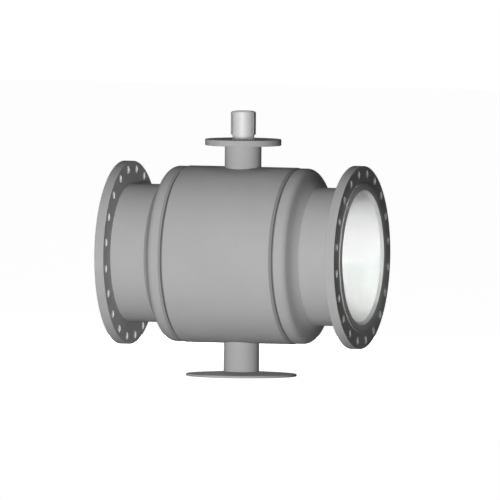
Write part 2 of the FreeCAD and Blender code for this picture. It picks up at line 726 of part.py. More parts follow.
def make_stem_o_rings():
    """Two round cords in the grooves of the stem."""
    body = new_body("stem_o_rings")
    sketch = new_sketch(body, "XZ_Plane", "profile")
    for sign in ("-", "+"):
        middle = f"({LAND_MIDDLE} {sign} stem_ring_pitch / 2)"
        draw_circle(sketch, STEM_CORD_R, middle, "(stem_cord / 2)")
    revolve(body, sketch, STEM_AXIS)
    return body


def make_stem_housing():
    """Turned sleeve that passes through the shell and carries the bushes, packing and gland."""
    counterbore = f"({COLLAR_R} + collar_gap)"
    housing = turned(
        "stem_housing",
        STEM_AXIS,
        (
            (counterbore, HOUSING_BOTTOM),
            (HOUSING_R, HOUSING_BOTTOM),
            (HOUSING_R, HOUSING_TOP),
            (GLAND_R, HOUSING_TOP),
            (GLAND_R, GLAND_SEAT),
            (BOX_R, GLAND_SEAT),
            (BOX_R, BOX_FLOOR),
            (BUSH_R, BOX_FLOOR),
            (BUSH_R, UPPER_BUSH_BOTTOM),
            (LAND_R, UPPER_BUSH_BOTTOM),
            (LAND_R, LOWER_BUSH_TOP),
            (BUSH_R, LOWER_BUSH_TOP),
            (BUSH_R, WASHER_TOP),
            (counterbore, WASHER_TOP),
        ),
    )
    sketch = new_sketch(housing, "XY_Plane", "screw_hole", GLAND_SEAT)
    draw_circle(sketch, SCREW_R, "0", "(gland_screw_dia / 2)")
    hole = pocket(housing, sketch, "gland_screw_reach + gland_screw_dia / 2")
    ring_of(housing, [hole], "Z_Axis", "gland_screw_count")
    return housing


def make_top_flange():
    """Actuator flange around the end of the housing, with a recess and a ring of bolt holes."""
    flange = turned(
        "top_flange",
        STEM_AXIS,
        (
            (HOUSING_R, HEAD_BOTTOM),
            (f"({TOP_FLANGE_R} - edge_chamfer)", HEAD_BOTTOM),
            (TOP_FLANGE_R, f"({HEAD_BOTTOM} + edge_chamfer)"),
            (TOP_FLANGE_R, f"({HEAD_TOP} - edge_chamfer)"),
            (f"({TOP_FLANGE_R} - edge_chamfer)", HEAD_TOP),
            (RECESS_R, HEAD_TOP),
            (RECESS_R, HOUSING_TOP),
            (HOUSING_R, HOUSING_TOP),
        ),
    )
    half_pitch = "(180 / top_bolt_hole_count)"
    sketch = new_sketch(flange, "XY_Plane", "bolt_hole")
    across, up = (f"({TOP_BOLT_R} * {ratio}({half_pitch}))" for ratio in ("cos", "sin"))
    draw_circle(sketch, across, up, "(top_bolt_hole_dia / 2)")
    hole = pocket(flange, sketch, side_type="Symmetric")
    ring_of(flange, [hole], "Z_Axis", "top_bolt_hole_count")
    return flange


def make_stem_rings():
    """Bushes, thrust washer and packing rings that the housing holds around the stem."""
    bush_in = f"({STEM_R} + running_gap)"
    packing = []
    for number in range(3):
        low = f"({BOX_FLOOR} + {number} * {PACKING_PITCH})"
        packing.append(ring_outline(LAND_R, BOX_R, low, f"({low} + packing_ring_height)"))
    rings = {
        "lower_bush": [ring_outline(bush_in, BUSH_R, WASHER_TOP, LOWER_BUSH_TOP)],
        "upper_bush": [ring_outline(bush_in, BUSH_R, UPPER_BUSH_BOTTOM, BOX_FLOOR)],
        "upper_thrust_washer": [
            ring_outline(f"({STEM_R} + collar_gap)", COLLAR_R, WASHER_FLOOR, WASHER_TOP)
        ],
        "packing_rings": packing,
    }
    return [turned(label, STEM_AXIS, *outlines) for label, outlines in rings.items()]


def make_gland():
    """Flanged sleeve that closes the stuffing box, with sunk holes for its screws."""
    gland = turned(
        "gland",
        STEM_AXIS,
        (
            (LAND_R, PACKING_TOP),
            (f"({BOX_R} - screw_gap)", PACKING_TOP),
            (f"({BOX_R} - screw_gap)", GLAND_SEAT),
            (f"({GLAND_R} - screw_gap)", GLAND_SEAT),
            (f"({GLAND_R} - screw_gap)", GLAND_TOP),
            (LAND_R, GLAND_TOP),
        ),
    )
    holes = []
    for name, size, depth in (
        ("screw_hole", "gland_screw_dia", "gland_thickness"),
        ("head_hole", "screw_head_dia", "screw_head_height + screw_gap"),
    ):
        sketch = new_sketch(gland, "XY_Plane", name, GLAND_TOP)
        draw_circle(sketch, SCREW_R, "0", f"({size} / 2 + screw_gap)")
        holes.append(pocket(gland, sketch, depth))
    ring_of(gland, holes, "Z_Axis", "gland_screw_count")
    return gland


def make_gland_screws():
    """Socket head screws, all in one group."""
    screws = new_body("gland_screws")
    shank = new_sketch(screws, "XY_Plane", "shank", f"({GLAND_SEAT} - gland_screw_reach)")
    draw_circle(shank, SCREW_R, "0", "(gland_screw_dia / 2)")
    head = new_sketch(screws, "XY_Plane", "head", SCREW_SEAT)
    draw_circle(head, SCREW_R, "0", "(screw_head_dia / 2)")
    hexagon = new_sketch(screws, "XY_Plane", "socket", f"({SCREW_SEAT} + screw_head_height)")
    corners = []
    for number in range(6):
        angle = f"({number} * 60)"
        across = f"({SCREW_R} + hex_size / sqrt(3) * cos({angle}))"
        corners.append((across, f"(hex_size / sqrt(3) * sin({angle}))"))
    draw_outline(hexagon, corners)
    features = [
        pad(screws, shank, f"({SCREW_SEAT} - {GLAND_SEAT} + gland_screw_reach)"),
        pad(screws, head, "screw_head_height"),
        pocket(screws, hexagon, "hex_depth"),
    ]
    ring_of(screws, features, "Z_Axis", "gland_screw_count")
    return screws


def make_trunnion():
    """Pin, bush and thrust washer that carry the ball from below."""
    bush_end = f"(0 - {SLOT_FLOOR} - tongue_floor_gap)"
    washer_out = f"({TRUNNION_R} - washer_inset)"
    pin = turned(
        "trunnion_pin",
        STEM_AXIS,
        (
            ("0", TRUNNION_BOTTOM),
            (TRUNNION_R, TRUNNION_BOTTOM),
            (TRUNNION_R, TRUNNION_SHOULDER),
            (PIN_R, TRUNNION_SHOULDER),
            (PIN_R, bush_end),
            ("0", bush_end),
        ),
    )
    bush = turned(
        "trunnion_bush",
        STEM_AXIS,
        ring_outline(f"({PIN_R} + running_gap)", f"({PIN_R} + bush_wall)", f"(0 - {BALL_FLAT})", bush_end),
    )
    washer_top = f"({TRUNNION_SHOULDER} + washer_thickness)"
    washer = turned(
        "lower_thrust_washer",
        STEM_AXIS,
        ring_outline(f"({PIN_R} + collar_gap)", washer_out, TRUNNION_SHOULDER, washer_top),
    )
    return [pin, bush, washer]


def make_support_tube():
    """Tube from the foot up to the shell, with its top coped to the shell."""
    tube = turned(
        "support_tube",
        STEM_AXIS,
        ring_outline(SUPPORT_IN, SUPPORT_OUT, FOOT_SEAT, f"(0 - {SHELL_IN})"),
    )
    saddle = new_sketch(tube, "XZ_Plane", "saddle")
    reach = f"({SUPPORT_OUT} + face_gap)"
    back = f"(0 - {reach})"
    draw_outline(saddle, ((back, "0"), (reach, "0"), (reach, SHELL_OUT), (back, SHELL_OUT)))
    revolve(tube, saddle, PIPE_AXIS, "Groove")
    return tube


def make_foot_plate():
    """Round foot, flat below and coned above, with a rounded rim."""
    foot_r = "(foot_dia / 2)"
    inset = f"({foot_r} - foot_round)"
    return turned(
        "foot_plate",
        STEM_AXIS,
        (
            ("0", "0"),
            (inset, "0", LEFT_TURN, "foot_round"),
            (foot_r, "foot_round"),
            (foot_r, "(foot_rim - foot_round)", LEFT_TURN, "foot_round"),
            (inset, "foot_rim"),
            (SUPPORT_OUT, "foot_crown"),
            ("0", "foot_crown"),
        ),
        lift="0",
    )


def make_valve():
    """Every piece of the valve."""
    bodies = [make_body_shell(), make_ball(), make_stem(), make_stem_o_rings(), make_stem_housing()]
    bodies += [make_top_flange(), *make_stem_rings(), make_gland(), make_gland_screws()]
    bodies += [*make_trunnion(), make_support_tube(), make_foot_plate()]
    for name, side in (("right", 1), ("left", -1)):
        bodies.append(make_end_closure(name, side))
        bodies.append(make_body_weld(name, side))
        bodies.append(make_neck_weld(name, side))
        bodies.append(make_neck_tube(name, side))
        bodies.append(make_flange(name, side))
        bodies.append(make_seat_retainer(name, side))
        bodies.append(make_seat_ring(name, side))
        bodies.append(make_seat_o_ring(name, side))
        bodies.append(make_seat_spring(name, side))
        bodies.append(make_key(name, side))
    return bodies


def check(bodies):
    """Stops if any object of the document failed or any body is not a sound shape."""
    for item in doc.Objects:
        if {"Invalid", "Error"} & set(item.State):
            raise ValueError(f"{item.Name} is {item.State}")
    for body in bodies:
        if body.Shape.isNull() or not body.Shape.isValid() or not body.Shape.Solids:
            raise ValueError(f"{body.Label} has no sound shape")


valve = make_valve()
doc.recompute()
check(valve)
os.makedirs("parts", exist_ok=True)
for part in valve:
    part.Shape.exportStep(f"parts/{part.Label}.step")
    print(part.Label, len(part.Shape.Solids), round(part.Shape.Volume / 1000), "cm3")
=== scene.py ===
"""Looks of a fully welded ball valve with flanged ends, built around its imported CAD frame."""

import logging
import math
from dataclasses import dataclass, field
from enum import Enum

import bmesh
import bpy
import numpy as np
from mathutils import Matrix, Vector


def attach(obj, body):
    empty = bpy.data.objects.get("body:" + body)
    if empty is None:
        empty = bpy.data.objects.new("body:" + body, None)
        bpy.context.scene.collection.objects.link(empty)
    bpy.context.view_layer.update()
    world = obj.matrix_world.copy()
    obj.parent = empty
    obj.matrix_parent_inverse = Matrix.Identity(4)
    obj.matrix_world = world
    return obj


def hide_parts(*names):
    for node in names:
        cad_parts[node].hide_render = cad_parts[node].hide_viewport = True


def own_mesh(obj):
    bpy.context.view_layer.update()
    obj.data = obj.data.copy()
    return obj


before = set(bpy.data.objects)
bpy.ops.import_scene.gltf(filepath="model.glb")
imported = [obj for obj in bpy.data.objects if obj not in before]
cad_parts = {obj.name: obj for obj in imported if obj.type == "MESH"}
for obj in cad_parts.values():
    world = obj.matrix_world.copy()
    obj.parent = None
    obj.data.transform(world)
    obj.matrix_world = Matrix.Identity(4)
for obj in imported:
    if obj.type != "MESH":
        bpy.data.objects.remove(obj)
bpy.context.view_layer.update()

Array = np.ndarray
Colour = tuple[float, float, float]
Socket = bpy.types.NodeSocket
MM = 0.001
LOG = logging.getLogger("valve")


class Axis(Enum):
    """The axes that pieces are turned about."""

    PIPE = "pipe"
    STEM = "stem"

    @property
    def steps(self) -> int:
        """Faces in a full turn about the axis."""
        return 200 if self is Axis.PIPE else 144


class Side(Enum):
    """The two ends of the pipe, with their direction along X."""

    LEFT = -1
    RIGHT = 1

    def named(self, piece: str) -> str:
        """The piece's name with the side in front."""
        return f"{self.name.lower()}_{piece}"

    def facing(self, profile: Array) -> Array:
        """The places and radii of a profile along the pipe, turned towards this side."""
        return profile[:, :2] * (self.value, 1)


class Body(Enum):
    """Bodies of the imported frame."""

    VALVE = "valve_body"
    BALL = "ball_and_stem"
    LEFT_SEAT = "left_seat"
    RIGHT_SEAT = "right_seat"


@dataclass(frozen=True)
class Sizes:
    """Sizes that several sub-assemblies share, in mm from the crossing of the two axes.

    Fields:
        pipe_height: Pipe axis above the floor.
        ball_r: Radius of the ball.
        bore_r: Bore of the ball.
        ball_flat: Height of the ball's flats, above and below.
        slot_floor: Depth of the slot and of the socket in the ball.
        seat_r: Middle of the soft seat ring.
        retainer_in: Bore of the seat retainer and of the lip behind it.
        pocket_r: Pocket that the retainer slides in.
        shell_in: Inside of the shell.
        shell_out: Outside of the shell.
        groove_root: Root of the V-groove.
        groove_half: Half the width of the V-groove.
        closure_r: Outside of the closure.
        bead_height: Height of the root bead.
        neck_in: Bore of the neck.
        neck_out: Outside of the neck.
        half_length: Half the length from face to face.
        skin: Depth of the bare metal in the bores, which is a piece of its own.
        root_past_seat: From the seat line to the weld root.
        back_past_seat: From the seat line to the retainer's back.
        spring_room: From the retainer's back to the pocket's floor.
        lip: Lip behind the pocket.
        closure_run: From the pocket's floor to the end of the closure.
        neck_weld: Width of the neck's weld.
        raised: Height of the raised face.
        flange_depth: Depth of the pipe flange.
        socket: Depth of the neck's socket in the flange.
        stem_r: Radius of the stem in its bushes.
        play: Radial room of the stem and of the pin in their bushes.
        bush_r: Outside of the bushes.
        land_r: Bore of the lands round the stem.
        box_r: Outside of the packing.
        gland_r: Pocket of the gland.
        screw_circle: Circle of the gland screws.
        housing_r: Outside of the stem housing.
        trunnion_r: Outside of the lower pin.
        washer_r: Outside of the upper thrust washer and of the stem's collar.
        washer_gap: Room of the thrust washers round the stem and the pin.
        washer_top: Top of the upper thrust washer.
        box_floor: Floor of the packing box.
        gland_seat: Floor of the gland's pocket.
        recess_floor: Floor of the recess in the actuator flange.
        head_top: Top of the actuator flange.
    """

    pipe_height: float = 555.0
    ball_r: float = 368.0
    bore_r: float = 245.0
    ball_flat: float = 356.0
    slot_floor: float = 296.0
    seat_r: float = 257.0
    retainer_in: float = 246.0
    pocket_r: float = 291.3
    shell_in: float = 381.0
    shell_out: float = 405.0
    groove_root: float = 385.0
    groove_half: float = 11.5
    closure_r: float = 402.5
    bead_height: float = 6.0
    neck_in: float = 296.0
    neck_out: float = 316.5
    half_length: float = 582.5
    skin: float = 0.4
    root_past_seat: float = 4.1
    back_past_seat: float = 58.6
    spring_room: float = 8.0
    lip: float = 8.0
    closure_run: float = 44.0
    neck_weld: float = 9.0
    raised: float = 5.0
    flange_depth: float = 44.0
    socket: float = 16.5
    stem_r: float = 52.0
    play: float = 0.05
    bush_r: float = 58.0
    land_r: float = 52.3
    box_r: float = 62.0
    gland_r: float = 78.0
    screw_circle: float = 70.0
    housing_r: float = 84.15
    trunnion_r: float = 70.9
    washer_r: float = 66.0
    washer_gap: float = 1.0
    washer_top: float = 384.2
    box_floor: float = 488.0
    gland_seat: float = 512.0
    recess_floor: float = 526.0
    head_top: float = 531.0

    @property
    def seat_x(self) -> float:
        """Station where the seat line meets the ball."""
        return math.sqrt(self.ball_r**2 - self.seat_r**2)

    @property
    def shell_end(self) -> float:
        """Station of the weld root between shell and closure."""
        return self.seat_x + self.root_past_seat

    @property
    def retainer_back(self) -> float:
        """Back face of the seat retainer."""
        return self.seat_x + self.back_past_seat

    @property
    def pocket_floor(self) -> float:
        """Floor of the seat pocket in the closure."""
        return self.retainer_back + self.spring_room

    @property
    def lip_end(self) -> float:
        """Station where the lip round the pocket ends and the bore widens to the neck."""
        return self.pocket_floor + self.lip

    @property
    def closure_end(self) -> float:
        """Station where the closure meets the neck weld."""
        return self.pocket_floor + self.closure_run

    @property
    def neck_start(self) -> float:
        """Station where the neck tube meets the neck weld."""
        return self.closure_end + self.neck_weld

    @property
    def bolt_face(self) -> float:
        """Front of the pipe flange behind its raised face."""
        return self.half_length - self.raised

    @property
    def flange_back(self) -> float:
        """Back of the pipe flange."""
        return self.bolt_face - self.flange_depth

    @property
    def neck_end(self) -> float:
        """End of the neck tube in the socket of the flange."""
        return self.flange_back + self.socket


S = Sizes()


def unit(vectors: Array) -> Array:
    """The vectors at length 1."""
    return vectors / np.maximum(np.linalg.norm(vectors, axis=-1, keepdims=True), 1e-12)


def corners(*rows: tuple[float, ...]) -> Array:
    """Profile corners as rows of place along the axis, radius, and softness (0 where left out)."""
    return np.array([(*row, 0.0)[:3] for row in rows])


def arc(along: float, radius: float, size: float, start: float, stop: float, steps: int) -> Array:
    """Profile corners on an arc about the point (along, radius).

    Corner k lies at (along + size cos t, radius + size sin t), t going from start to stop.

    Args:
        along: Centre of the arc, along the axis.
        radius: Centre of the arc, from the axis.
        size: Radius of the arc itself.
        start: First angle in degrees.
        stop: Last angle in degrees.
        steps: Number of chords.

    Returns:
        Rows of corners, both ends included.
    """
    turn = np.radians(np.linspace(start, stop, steps + 1))
    return np.stack([along + size * np.cos(turn), radius + size * np.sin(turn), 0 * turn], axis=1)


def sweep(start: tuple[float, float], stop: tuple[float, float], heading: float, steps: int) -> Array:
    """Profile corners on the arc that leaves start along heading and ends at stop.

    The centre is start + n |c|^2 / (2 c.n), where c is the chord and n the normal of the heading.

    Args:
        start: First point, along the axis and from it.
        stop: Last point.
        heading: Direction of the arc at its start, in degrees from the axis.
        steps: Number of chords.

    Returns:
        Rows of corners, both ends included.
    """
    first, last = np.array(start), np.array(stop)
    normal = np.array([-math.sin(math.radians(heading)), math.cos(math.radians(heading))])
    chord = last - first
    centre = first + normal * (chord @ chord) / (2 * chord @ normal)
    turns = np.degrees(np.arctan2(*(np.stack([first, last]) - centre).T[::-1]))
    return arc(*centre, float(np.linalg.norm(first - centre)), *np.unwrap(turns, period=360), steps)


def softened(profile: Array, steps: int = 3) -> Array:
    """Rounds the corners of a closed profile.

    A corner p with softness q becomes the arc of radius q that touches both its edges. Where the
    edges turn by f, the arc runs from q tan(f/2) before p to as far after it, about a centre on the
    bisector, q / cos(f/2) from p. With a and b the arc's ends seen from its centre c, its points are
    c + (sin((1-t) f) a + sin(t f) b) / sin f, for t from 0 to 1.

    Args:
        profile: Rows of place along the axis, radius and softness.
        steps: Chords in each rounded corner.

    Returns:
        Rows of place along the axis and radius.
    """
    point, soft = profile[:, :2], profile[:, 2]
    back = unit(np.roll(point, 1, axis=0) - point)
    ahead = unit(np.roll(point, -1, axis=0) - point)
    turn = np.pi - np.arccos(np.clip((back * ahead).sum(axis=1), -1, 1))
    reach = (soft * np.tan(turn / 2))[:, None]
    centre = point + unit(back + ahead) * (soft / np.cos(turn / 2))[:, None]
    first = (point + back * reach - centre)[:, None]
    last = (point + ahead * reach - centre)[:, None]
    t = np.linspace(0, 1, steps + 1)[None, :, None]
    f = np.maximum(turn, 1e-3)[:, None, None]
    arcs = centre[:, None] + (np.sin((1 - t) * f) * first + np.sin(t * f) * last) / np.sin(f)
    kept = (soft[:, None] > 0) | (np.arange(steps + 1)[None, :] == 0)
    return arcs[kept]


def around(axis: Axis, along: Array, radius: Array, angle: Array) -> Array:
    """Points from cylinder coordinates about an axis.

    About the pipe the point is (along, r cos a, r sin a), and about the stem it is
    (r cos a, r sin a, along).

    Args:
        axis: The axis.
        along: Places along it.
        radius: Distances from it.
        angle: Turns about it in radians.

    Returns:
        An array of points, with the shape of the inputs broadcast together and a last axis of 3.
    """
    along, radius, angle = np.broadcast_arrays(along, radius, angle)
    across, up = radius * np.cos(angle), radius * np.sin(angle)
    return np.stack([along, across, up] if axis is Axis.PIPE else [across, up, along], axis=-1)


def loops(first: Array, last: Array, count: int) -> Array:
    """Loops between two matching loops: the point k of loop t is (1 - t) first(k) + t last(k)."""
    t = np.linspace(0, 1, count)[:, None, None]
    return (1 - t) * first[None] + t * last[None]


def polar(points: Array) -> tuple[Array, Array]:
    """Distances from the origin, and angles in radians, of points in a plane."""
    return np.hypot(points[..., 0], points[..., 1]), np.arctan2(points[..., 1], points[..., 0])


def patch_edge(first: Array, second: Array) -> Array:
    """Points round the edge of a patch of two parameters, in order.

    The first parameter rises at the second's lowest value, the second rises at the first's highest,
    and then each falls again.

    Args:
        first: Values of the first parameter.
        second: Values of the second parameter.

    Returns:
        Rows of the two parameters, each corner once.
    """
    return np.concatenate([
        np.stack([first[:-1], 0 * first[:-1] + second[0]], axis=1),
        np.stack([0 * second[:-1] + first[-1], second[:-1]], axis=1),
        np.stack([first[:0:-1], 0 * first[1:] + second[-1]], axis=1),
        np.stack([0 * second[1:] + first[0], second[:0:-1]], axis=1),
    ])


@dataclass
class Surface:
    """Grids of points, in mm from the crossing of the two axes, that join into one mesh.

    Fields:
        points: Points of each grid.
        faces: Faces of each grid, each as the numbers of its four points.
        count: Number of points so far.
    """

    points: list[Array] = field(default_factory=list)
    faces: list[Array] = field(default_factory=list)
    count: int = 0

    def add(self, grid: Array, close_rows: bool = False, close_columns: bool = True) -> "Surface":
        """Adds a grid of points with a four-sided face between each two rows and columns.

        Args:
            grid: Points, as rows by columns by 3.
            close_rows: Whether the last row joins the first.
            close_columns: Whether the last column joins the first.

        Returns:
            This surface.
        """
        rows, columns = grid.shape[:2]
        row = np.arange(rows if close_rows else rows - 1)[:, None]
        column = np.arange(columns if close_columns else columns - 1)[None, :]
        below, right = (row + 1) % rows * columns, (column + 1) % columns
        row = row * columns
        faces = np.stack([row + column, row + right, below + right, below + column], axis=-1)
        self.faces.append(faces.reshape(-1, 4) + self.count)
        self.points.append(grid.reshape(-1, 3))
        self.count += rows * columns
        return self

    def turned(self, axis: Axis, profile: Array, steps: int = 0, open_ends: bool = False) -> "Surface":
        """Adds a profile turned about an axis.

        The point at profile row s and turn a is around(axis, along(s), radius(s), a).

        Args:
            axis: The axis.
            profile: Rows of place along the axis and radius.
            steps: Faces in a full turn, or 0 for the usual number about that axis.
            open_ends: Whether the profile's last row is left unjoined to its first.

        Returns:
            This surface.
        """
        steps = steps or axis.steps
        angle = np.arange(steps) * 2 * np.pi / steps
        grid = around(axis, profile[:, :1], profile[:, 1:2], angle[None, :])
        return self.add(grid, close_rows=not open_ends)

    def strips(self, axis: Axis, *profiles: Array) -> "Surface":
        """Adds open profiles, turned about an axis.

        Args:
            axis: The axis.
            *profiles: Rows of place along the axis and radius.

        Returns:
            This surface.
        """
        for profile in profiles:
            self.turned(axis, profile, open_ends=True)
        return self

    def mesh(self, name: str, sharp: float) -> bpy.types.Mesh:
        """Joins the grids into a mesh in metres, smooth except at edges sharper than a limit.

        Args:
            name: Name of the mesh.
            sharp: The limit in degrees.

        Returns:
            The mesh, with its seams and poles closed and its faces outwards.
        """
        mesh = bpy.data.meshes.new(name)
        points = (np.concatenate(self.points) + (0, 0, S.pipe_height)) * MM
        mesh.from_pydata(points, [], np.concatenate(self.faces).tolist())
        shape = bmesh.new()
        shape.from_mesh(mesh)
        bmesh.ops.remove_doubles(shape, verts=shape.verts, dist=2e-6)
        bmesh.ops.dissolve_degenerate(shape, edges=shape.edges, dist=1e-7)
        bmesh.ops.recalc_face_normals(shape, faces=shape.faces)
        shape.to_mesh(mesh)
        shape.free()
        mesh.shade_smooth()
        mesh.set_sharp_from_angle(angle=math.radians(sharp))
        return mesh


@dataclass(frozen=True)
class HoleRing:
    """Holes in a ring about an axis, bored into a flat face.

    Fields:
        circle: Radius of the ring of holes.
        first: Angle of the first hole in degrees.
        bore: Rows of place along the axis and radius, down each hole. A last radius of 0 makes a
            blind hole.
        count: Number of holes.
        across: Faces from the inner to the outer edge of the drilled face, between two holes.
    """

    circle: float
    first: float
    bore: Array
    count: int
    across: int = 6

    def cut(self, surface: Surface, axis: Axis, inner: float, outer: float, through: bool) -> None:
        """Adds the drilled face between two radii, with the walls of its holes.

        The face is split into one sector for each hole. Straight rings run from the sector's edge,
        at bearing b from the hole, to the point of the hole at the same bearing.

        Args:
            surface: What the faces are added to.
            axis: The axis.
            inner: Inner radius of the face.
            outer: Outer radius of the face.
            through: Whether the holes come out in a second such face at their far end.
        """
        half = math.pi / self.count
        swings = np.linspace(-half, half, axis.steps // self.count + 1)
        reaches = np.linspace(inner, outer, self.across + 1)
        swing, reach = patch_edge(swings, reaches).T
        edge = reach[:, None] * np.stack([np.cos(swing), np.sin(swing)], axis=1)
        centre = np.array([self.circle, 0.0])
        rings = centre + self.bore[:, 1][:, None, None] * unit(edge - centre)
        along = self.bore[:, 0]
        rows = [edge, (edge + rings[0]) / 2, *rings]
        places = [along[0], along[0], *along]
        if through:
            rows += [(edge + rings[-1]) / 2, edge]
            places += [along[-1], along[-1]]
        reach, swing = polar(np.stack(rows))
        for hole in range(self.count):
            turn = math.radians(self.first) + hole * 2 * half
            surface.add(around(axis, np.array(places)[:, None], reach, swing + turn))

    def lining(self, axis: Axis, section: Array, steps: int = 28) -> Surface:
        """Rings of one section in all the holes.

        The point of a ring at bearing b lies at the hole's centre plus r (cos b, sin b).

        Args:
            axis: The axis.
            section: Closed section of a ring, as rows of place along the hole and radius.
            steps: Faces round a hole.

        Returns:
            The rings.
        """
        surface = Surface()
        bearing = np.arange(steps) * 2 * np.pi / steps
        for turn in np.radians(self.first + np.arange(self.count) * 360 / self.count):
            centre = self.circle * np.array([math.cos(turn), math.sin(turn)])
            offset = section[:, 1][:, None, None] * np.stack([np.cos(bearing), np.sin(bearing)], axis=1)
            surface.add(around(axis, section[:, :1], *polar(centre + offset)), close_rows=True)
        return surface


class Nodes:
    """The node tree of a material or a world, with short calls that add nodes and join them.

    Fields:
        LIMITS: Values that a noise mostly lies between.
    """

    LIMITS = (0.3, 0.7)

    def __init__(self, owner: bpy.types.Material | bpy.types.World) -> None:
        """Empties the owner's node tree.

        Args:
            owner: The material or world.
        """
        owner.use_nodes = True
        self.owner = owner
        self.tree = owner.node_tree
        self.tree.nodes.clear()

    def add(self, kind: str, settings: dict | None = None, **inputs: object) -> bpy.types.Node:
        """Adds a node.

        Args:
            kind: Node type, without its ShaderNode in front.
            settings: Properties of the node itself.
            **inputs: Values or output sockets for its inputs, with _ for a space in their names.

        Returns:
            The node.
        """
        node = self.tree.nodes.new(f"ShaderNode{kind}")
        for key, value in (settings or {}).items():
            setattr(node, key, value)
        for key, value in inputs.items():
            self.feed(node, key.replace("_", " "), value)
        return node

    def feed(self, node: bpy.types.Node, name: str | int, value: object) -> None:
        """Sets an input to a value, or joins it to an output socket.

        Args:
            node: The node.
            name: Name or number of the input.
            value: The value or output socket.
        """
        socket = node.inputs[name]
        if isinstance(value, Socket):
            self.tree.links.new(value, socket)
        else:
            socket.default_value = value

    def math(self, operation: str, *values: object) -> Socket:
        """A calculation.

        Args:
            operation: What is worked out.
            *values: Values or output sockets.

        Returns:
            The output socket.
        """
        node = self.add("Math", {"operation": operation})
        for number, value in enumerate(values):
            self.feed(node, number, value)
        return node.outputs[0]

    def place(self) -> Socket:
        """The point in metres from the crossing of the two axes.

        Returns:
            The output socket.
        """
        coordinates = self.add("TexCoord").outputs["Object"]
        moved = self.add("Mapping", Vector=coordinates, Location=(0, 0, -S.pipe_height * MM))
        return moved.outputs["Vector"]

    def noise(self, vector: Socket, scale: float, detail: float) -> Socket:
        """A cloudy pattern."""
        node = self.add("TexNoise", Vector=vector, Scale=scale, Detail=detail, Roughness=0.55)
        return node.outputs[0]

    def spread(self, value: Socket, low: float, high: float) -> Socket:
        """A noise value stretched to run between two limits.

        Args:
            value: The noise.
            low: The lower limit.
            high: The upper limit.

        Returns:
            The output socket.
        """
        node = self.add("MapRange", Value=value)
        for number, limit in enumerate((*self.LIMITS, low, high), start=1):
            node.inputs[number].default_value = limit
        return node.outputs[0]

    def tone(self, value: Socket, dark: Colour, light: Colour) -> Socket:
        """A colour between two, by a noise value.

        Args:
            value: The noise.
            dark: Colour at its low end.
            light: Colour at its high end.

        Returns:
            The output socket.
        """
        ramp = self.add("ValToRGB", Fac=value)
        for element, place, colour in zip(ramp.color_ramp.elements, self.LIMITS, (dark, light)):
            element.position = place
            element.color = (*colour, 1.0)
        return ramp.outputs[0]

    def bump(self, height: Socket, depth: float, under: object = None) -> Socket:
        """A normal from a pattern of heights.

        Args:
            height: The pattern.
            depth: Its depth in metres.
            under: A normal that it comes on top of, or None.

        Returns:
            The output socket.
        """
        node = self.add("Bump", Height=height, Strength=1.0, Distance=depth)
        if under is not None:
            self.feed(node, "Normal", under)
        return node.outputs["Normal"]

    def mixed(self, first: Socket, second: Socket, share: float) -> Socket:
        """Two patterns added, the second with its share and the first with the rest."""
        return self.math("ADD", self.math("MULTIPLY", first, 1 - share), self.math("MULTIPLY", second, share))

    def end(self, shader: bpy.types.Node, output: str) -> None:
        """Joins a shader to an output node of that type."""
        self.tree.links.new(shader.outputs[0], self.add(output).inputs["Surface"])

    def finish(self, **inputs: object) -> bpy.types.Material:
        """Adds the shader of a material with its inputs, and returns the material."""
        self.end(self.add("BsdfPrincipled", **inputs), "OutputMaterial")
        return self.owner


def shaded(colour: Colour, factor: float) -> Colour:
    """The colour made darker or lighter by a factor."""
    return tuple(min(1.0, channel * factor) for channel in colour)


@dataclass(frozen=True)
class Finish:
    """A surface finish, named as its slot in the record.

    Fields:
        slot: Material slot of the record.
        colour: Middle colour.
        roughness: Middle roughness.
        metallic: 1 for bare metal, 0 for anything else.
        mottle: How far the tone strays from the middle colour, as a share.
        gloss: Specular level.
        stray: How far the roughness strays from its middle.
        clouds: Scale of the clouds of tone.
        wear: Scale of the clouds of roughness.
    """

    slot: str
    colour: Colour
    roughness: float
    metallic: float = 0.0
    mottle: float = 0.03
    gloss: float = 0.5
    stray: float = 0.05
    clouds: float = 9.0
    wear: float = 40.0

    @property
    def name(self) -> str:
        """Name of its material, one for each tone."""
        return f"{self.slot}_{round(100 * self.colour[0])}"

    def material(self) -> bpy.types.Material:
        """The finish as a material, made once and then shared."""
        known = bpy.data.materials.get(self.name)
        return known or self.made(Nodes(bpy.data.materials.new(self.name)))

    def shader(self, nodes: Nodes, tone: Socket, wear: Socket, **inputs: object) -> bpy.types.Material:
        """Adds the shader.

        Args:
            nodes: Nodes of the material.
            tone: Pattern that makes the colour darker and lighter.
            wear: Pattern that makes the roughness stray.
            **inputs: Further inputs of the shader.

        Returns:
            The material.
        """
        dark, light = shaded(self.colour, 1 - self.mottle), shaded(self.colour, 1 + self.mottle)
        return nodes.finish(
            Base_Color=nodes.tone(tone, dark, light),
            Roughness=nodes.spread(wear, self.roughness - self.stray, self.roughness + self.stray),
            Metallic=self.metallic,
            Specular_IOR_Level=self.gloss,
            **inputs,
        )

    def made(self, nodes: Nodes) -> bpy.types.Material:
        """Builds the finish from soft clouds of tone and smaller clouds of roughness."""
        place = nodes.place()
        return self.shader(nodes, nodes.noise(place, self.clouds, 4.0), nodes.noise(place, self.wear, 3.0))


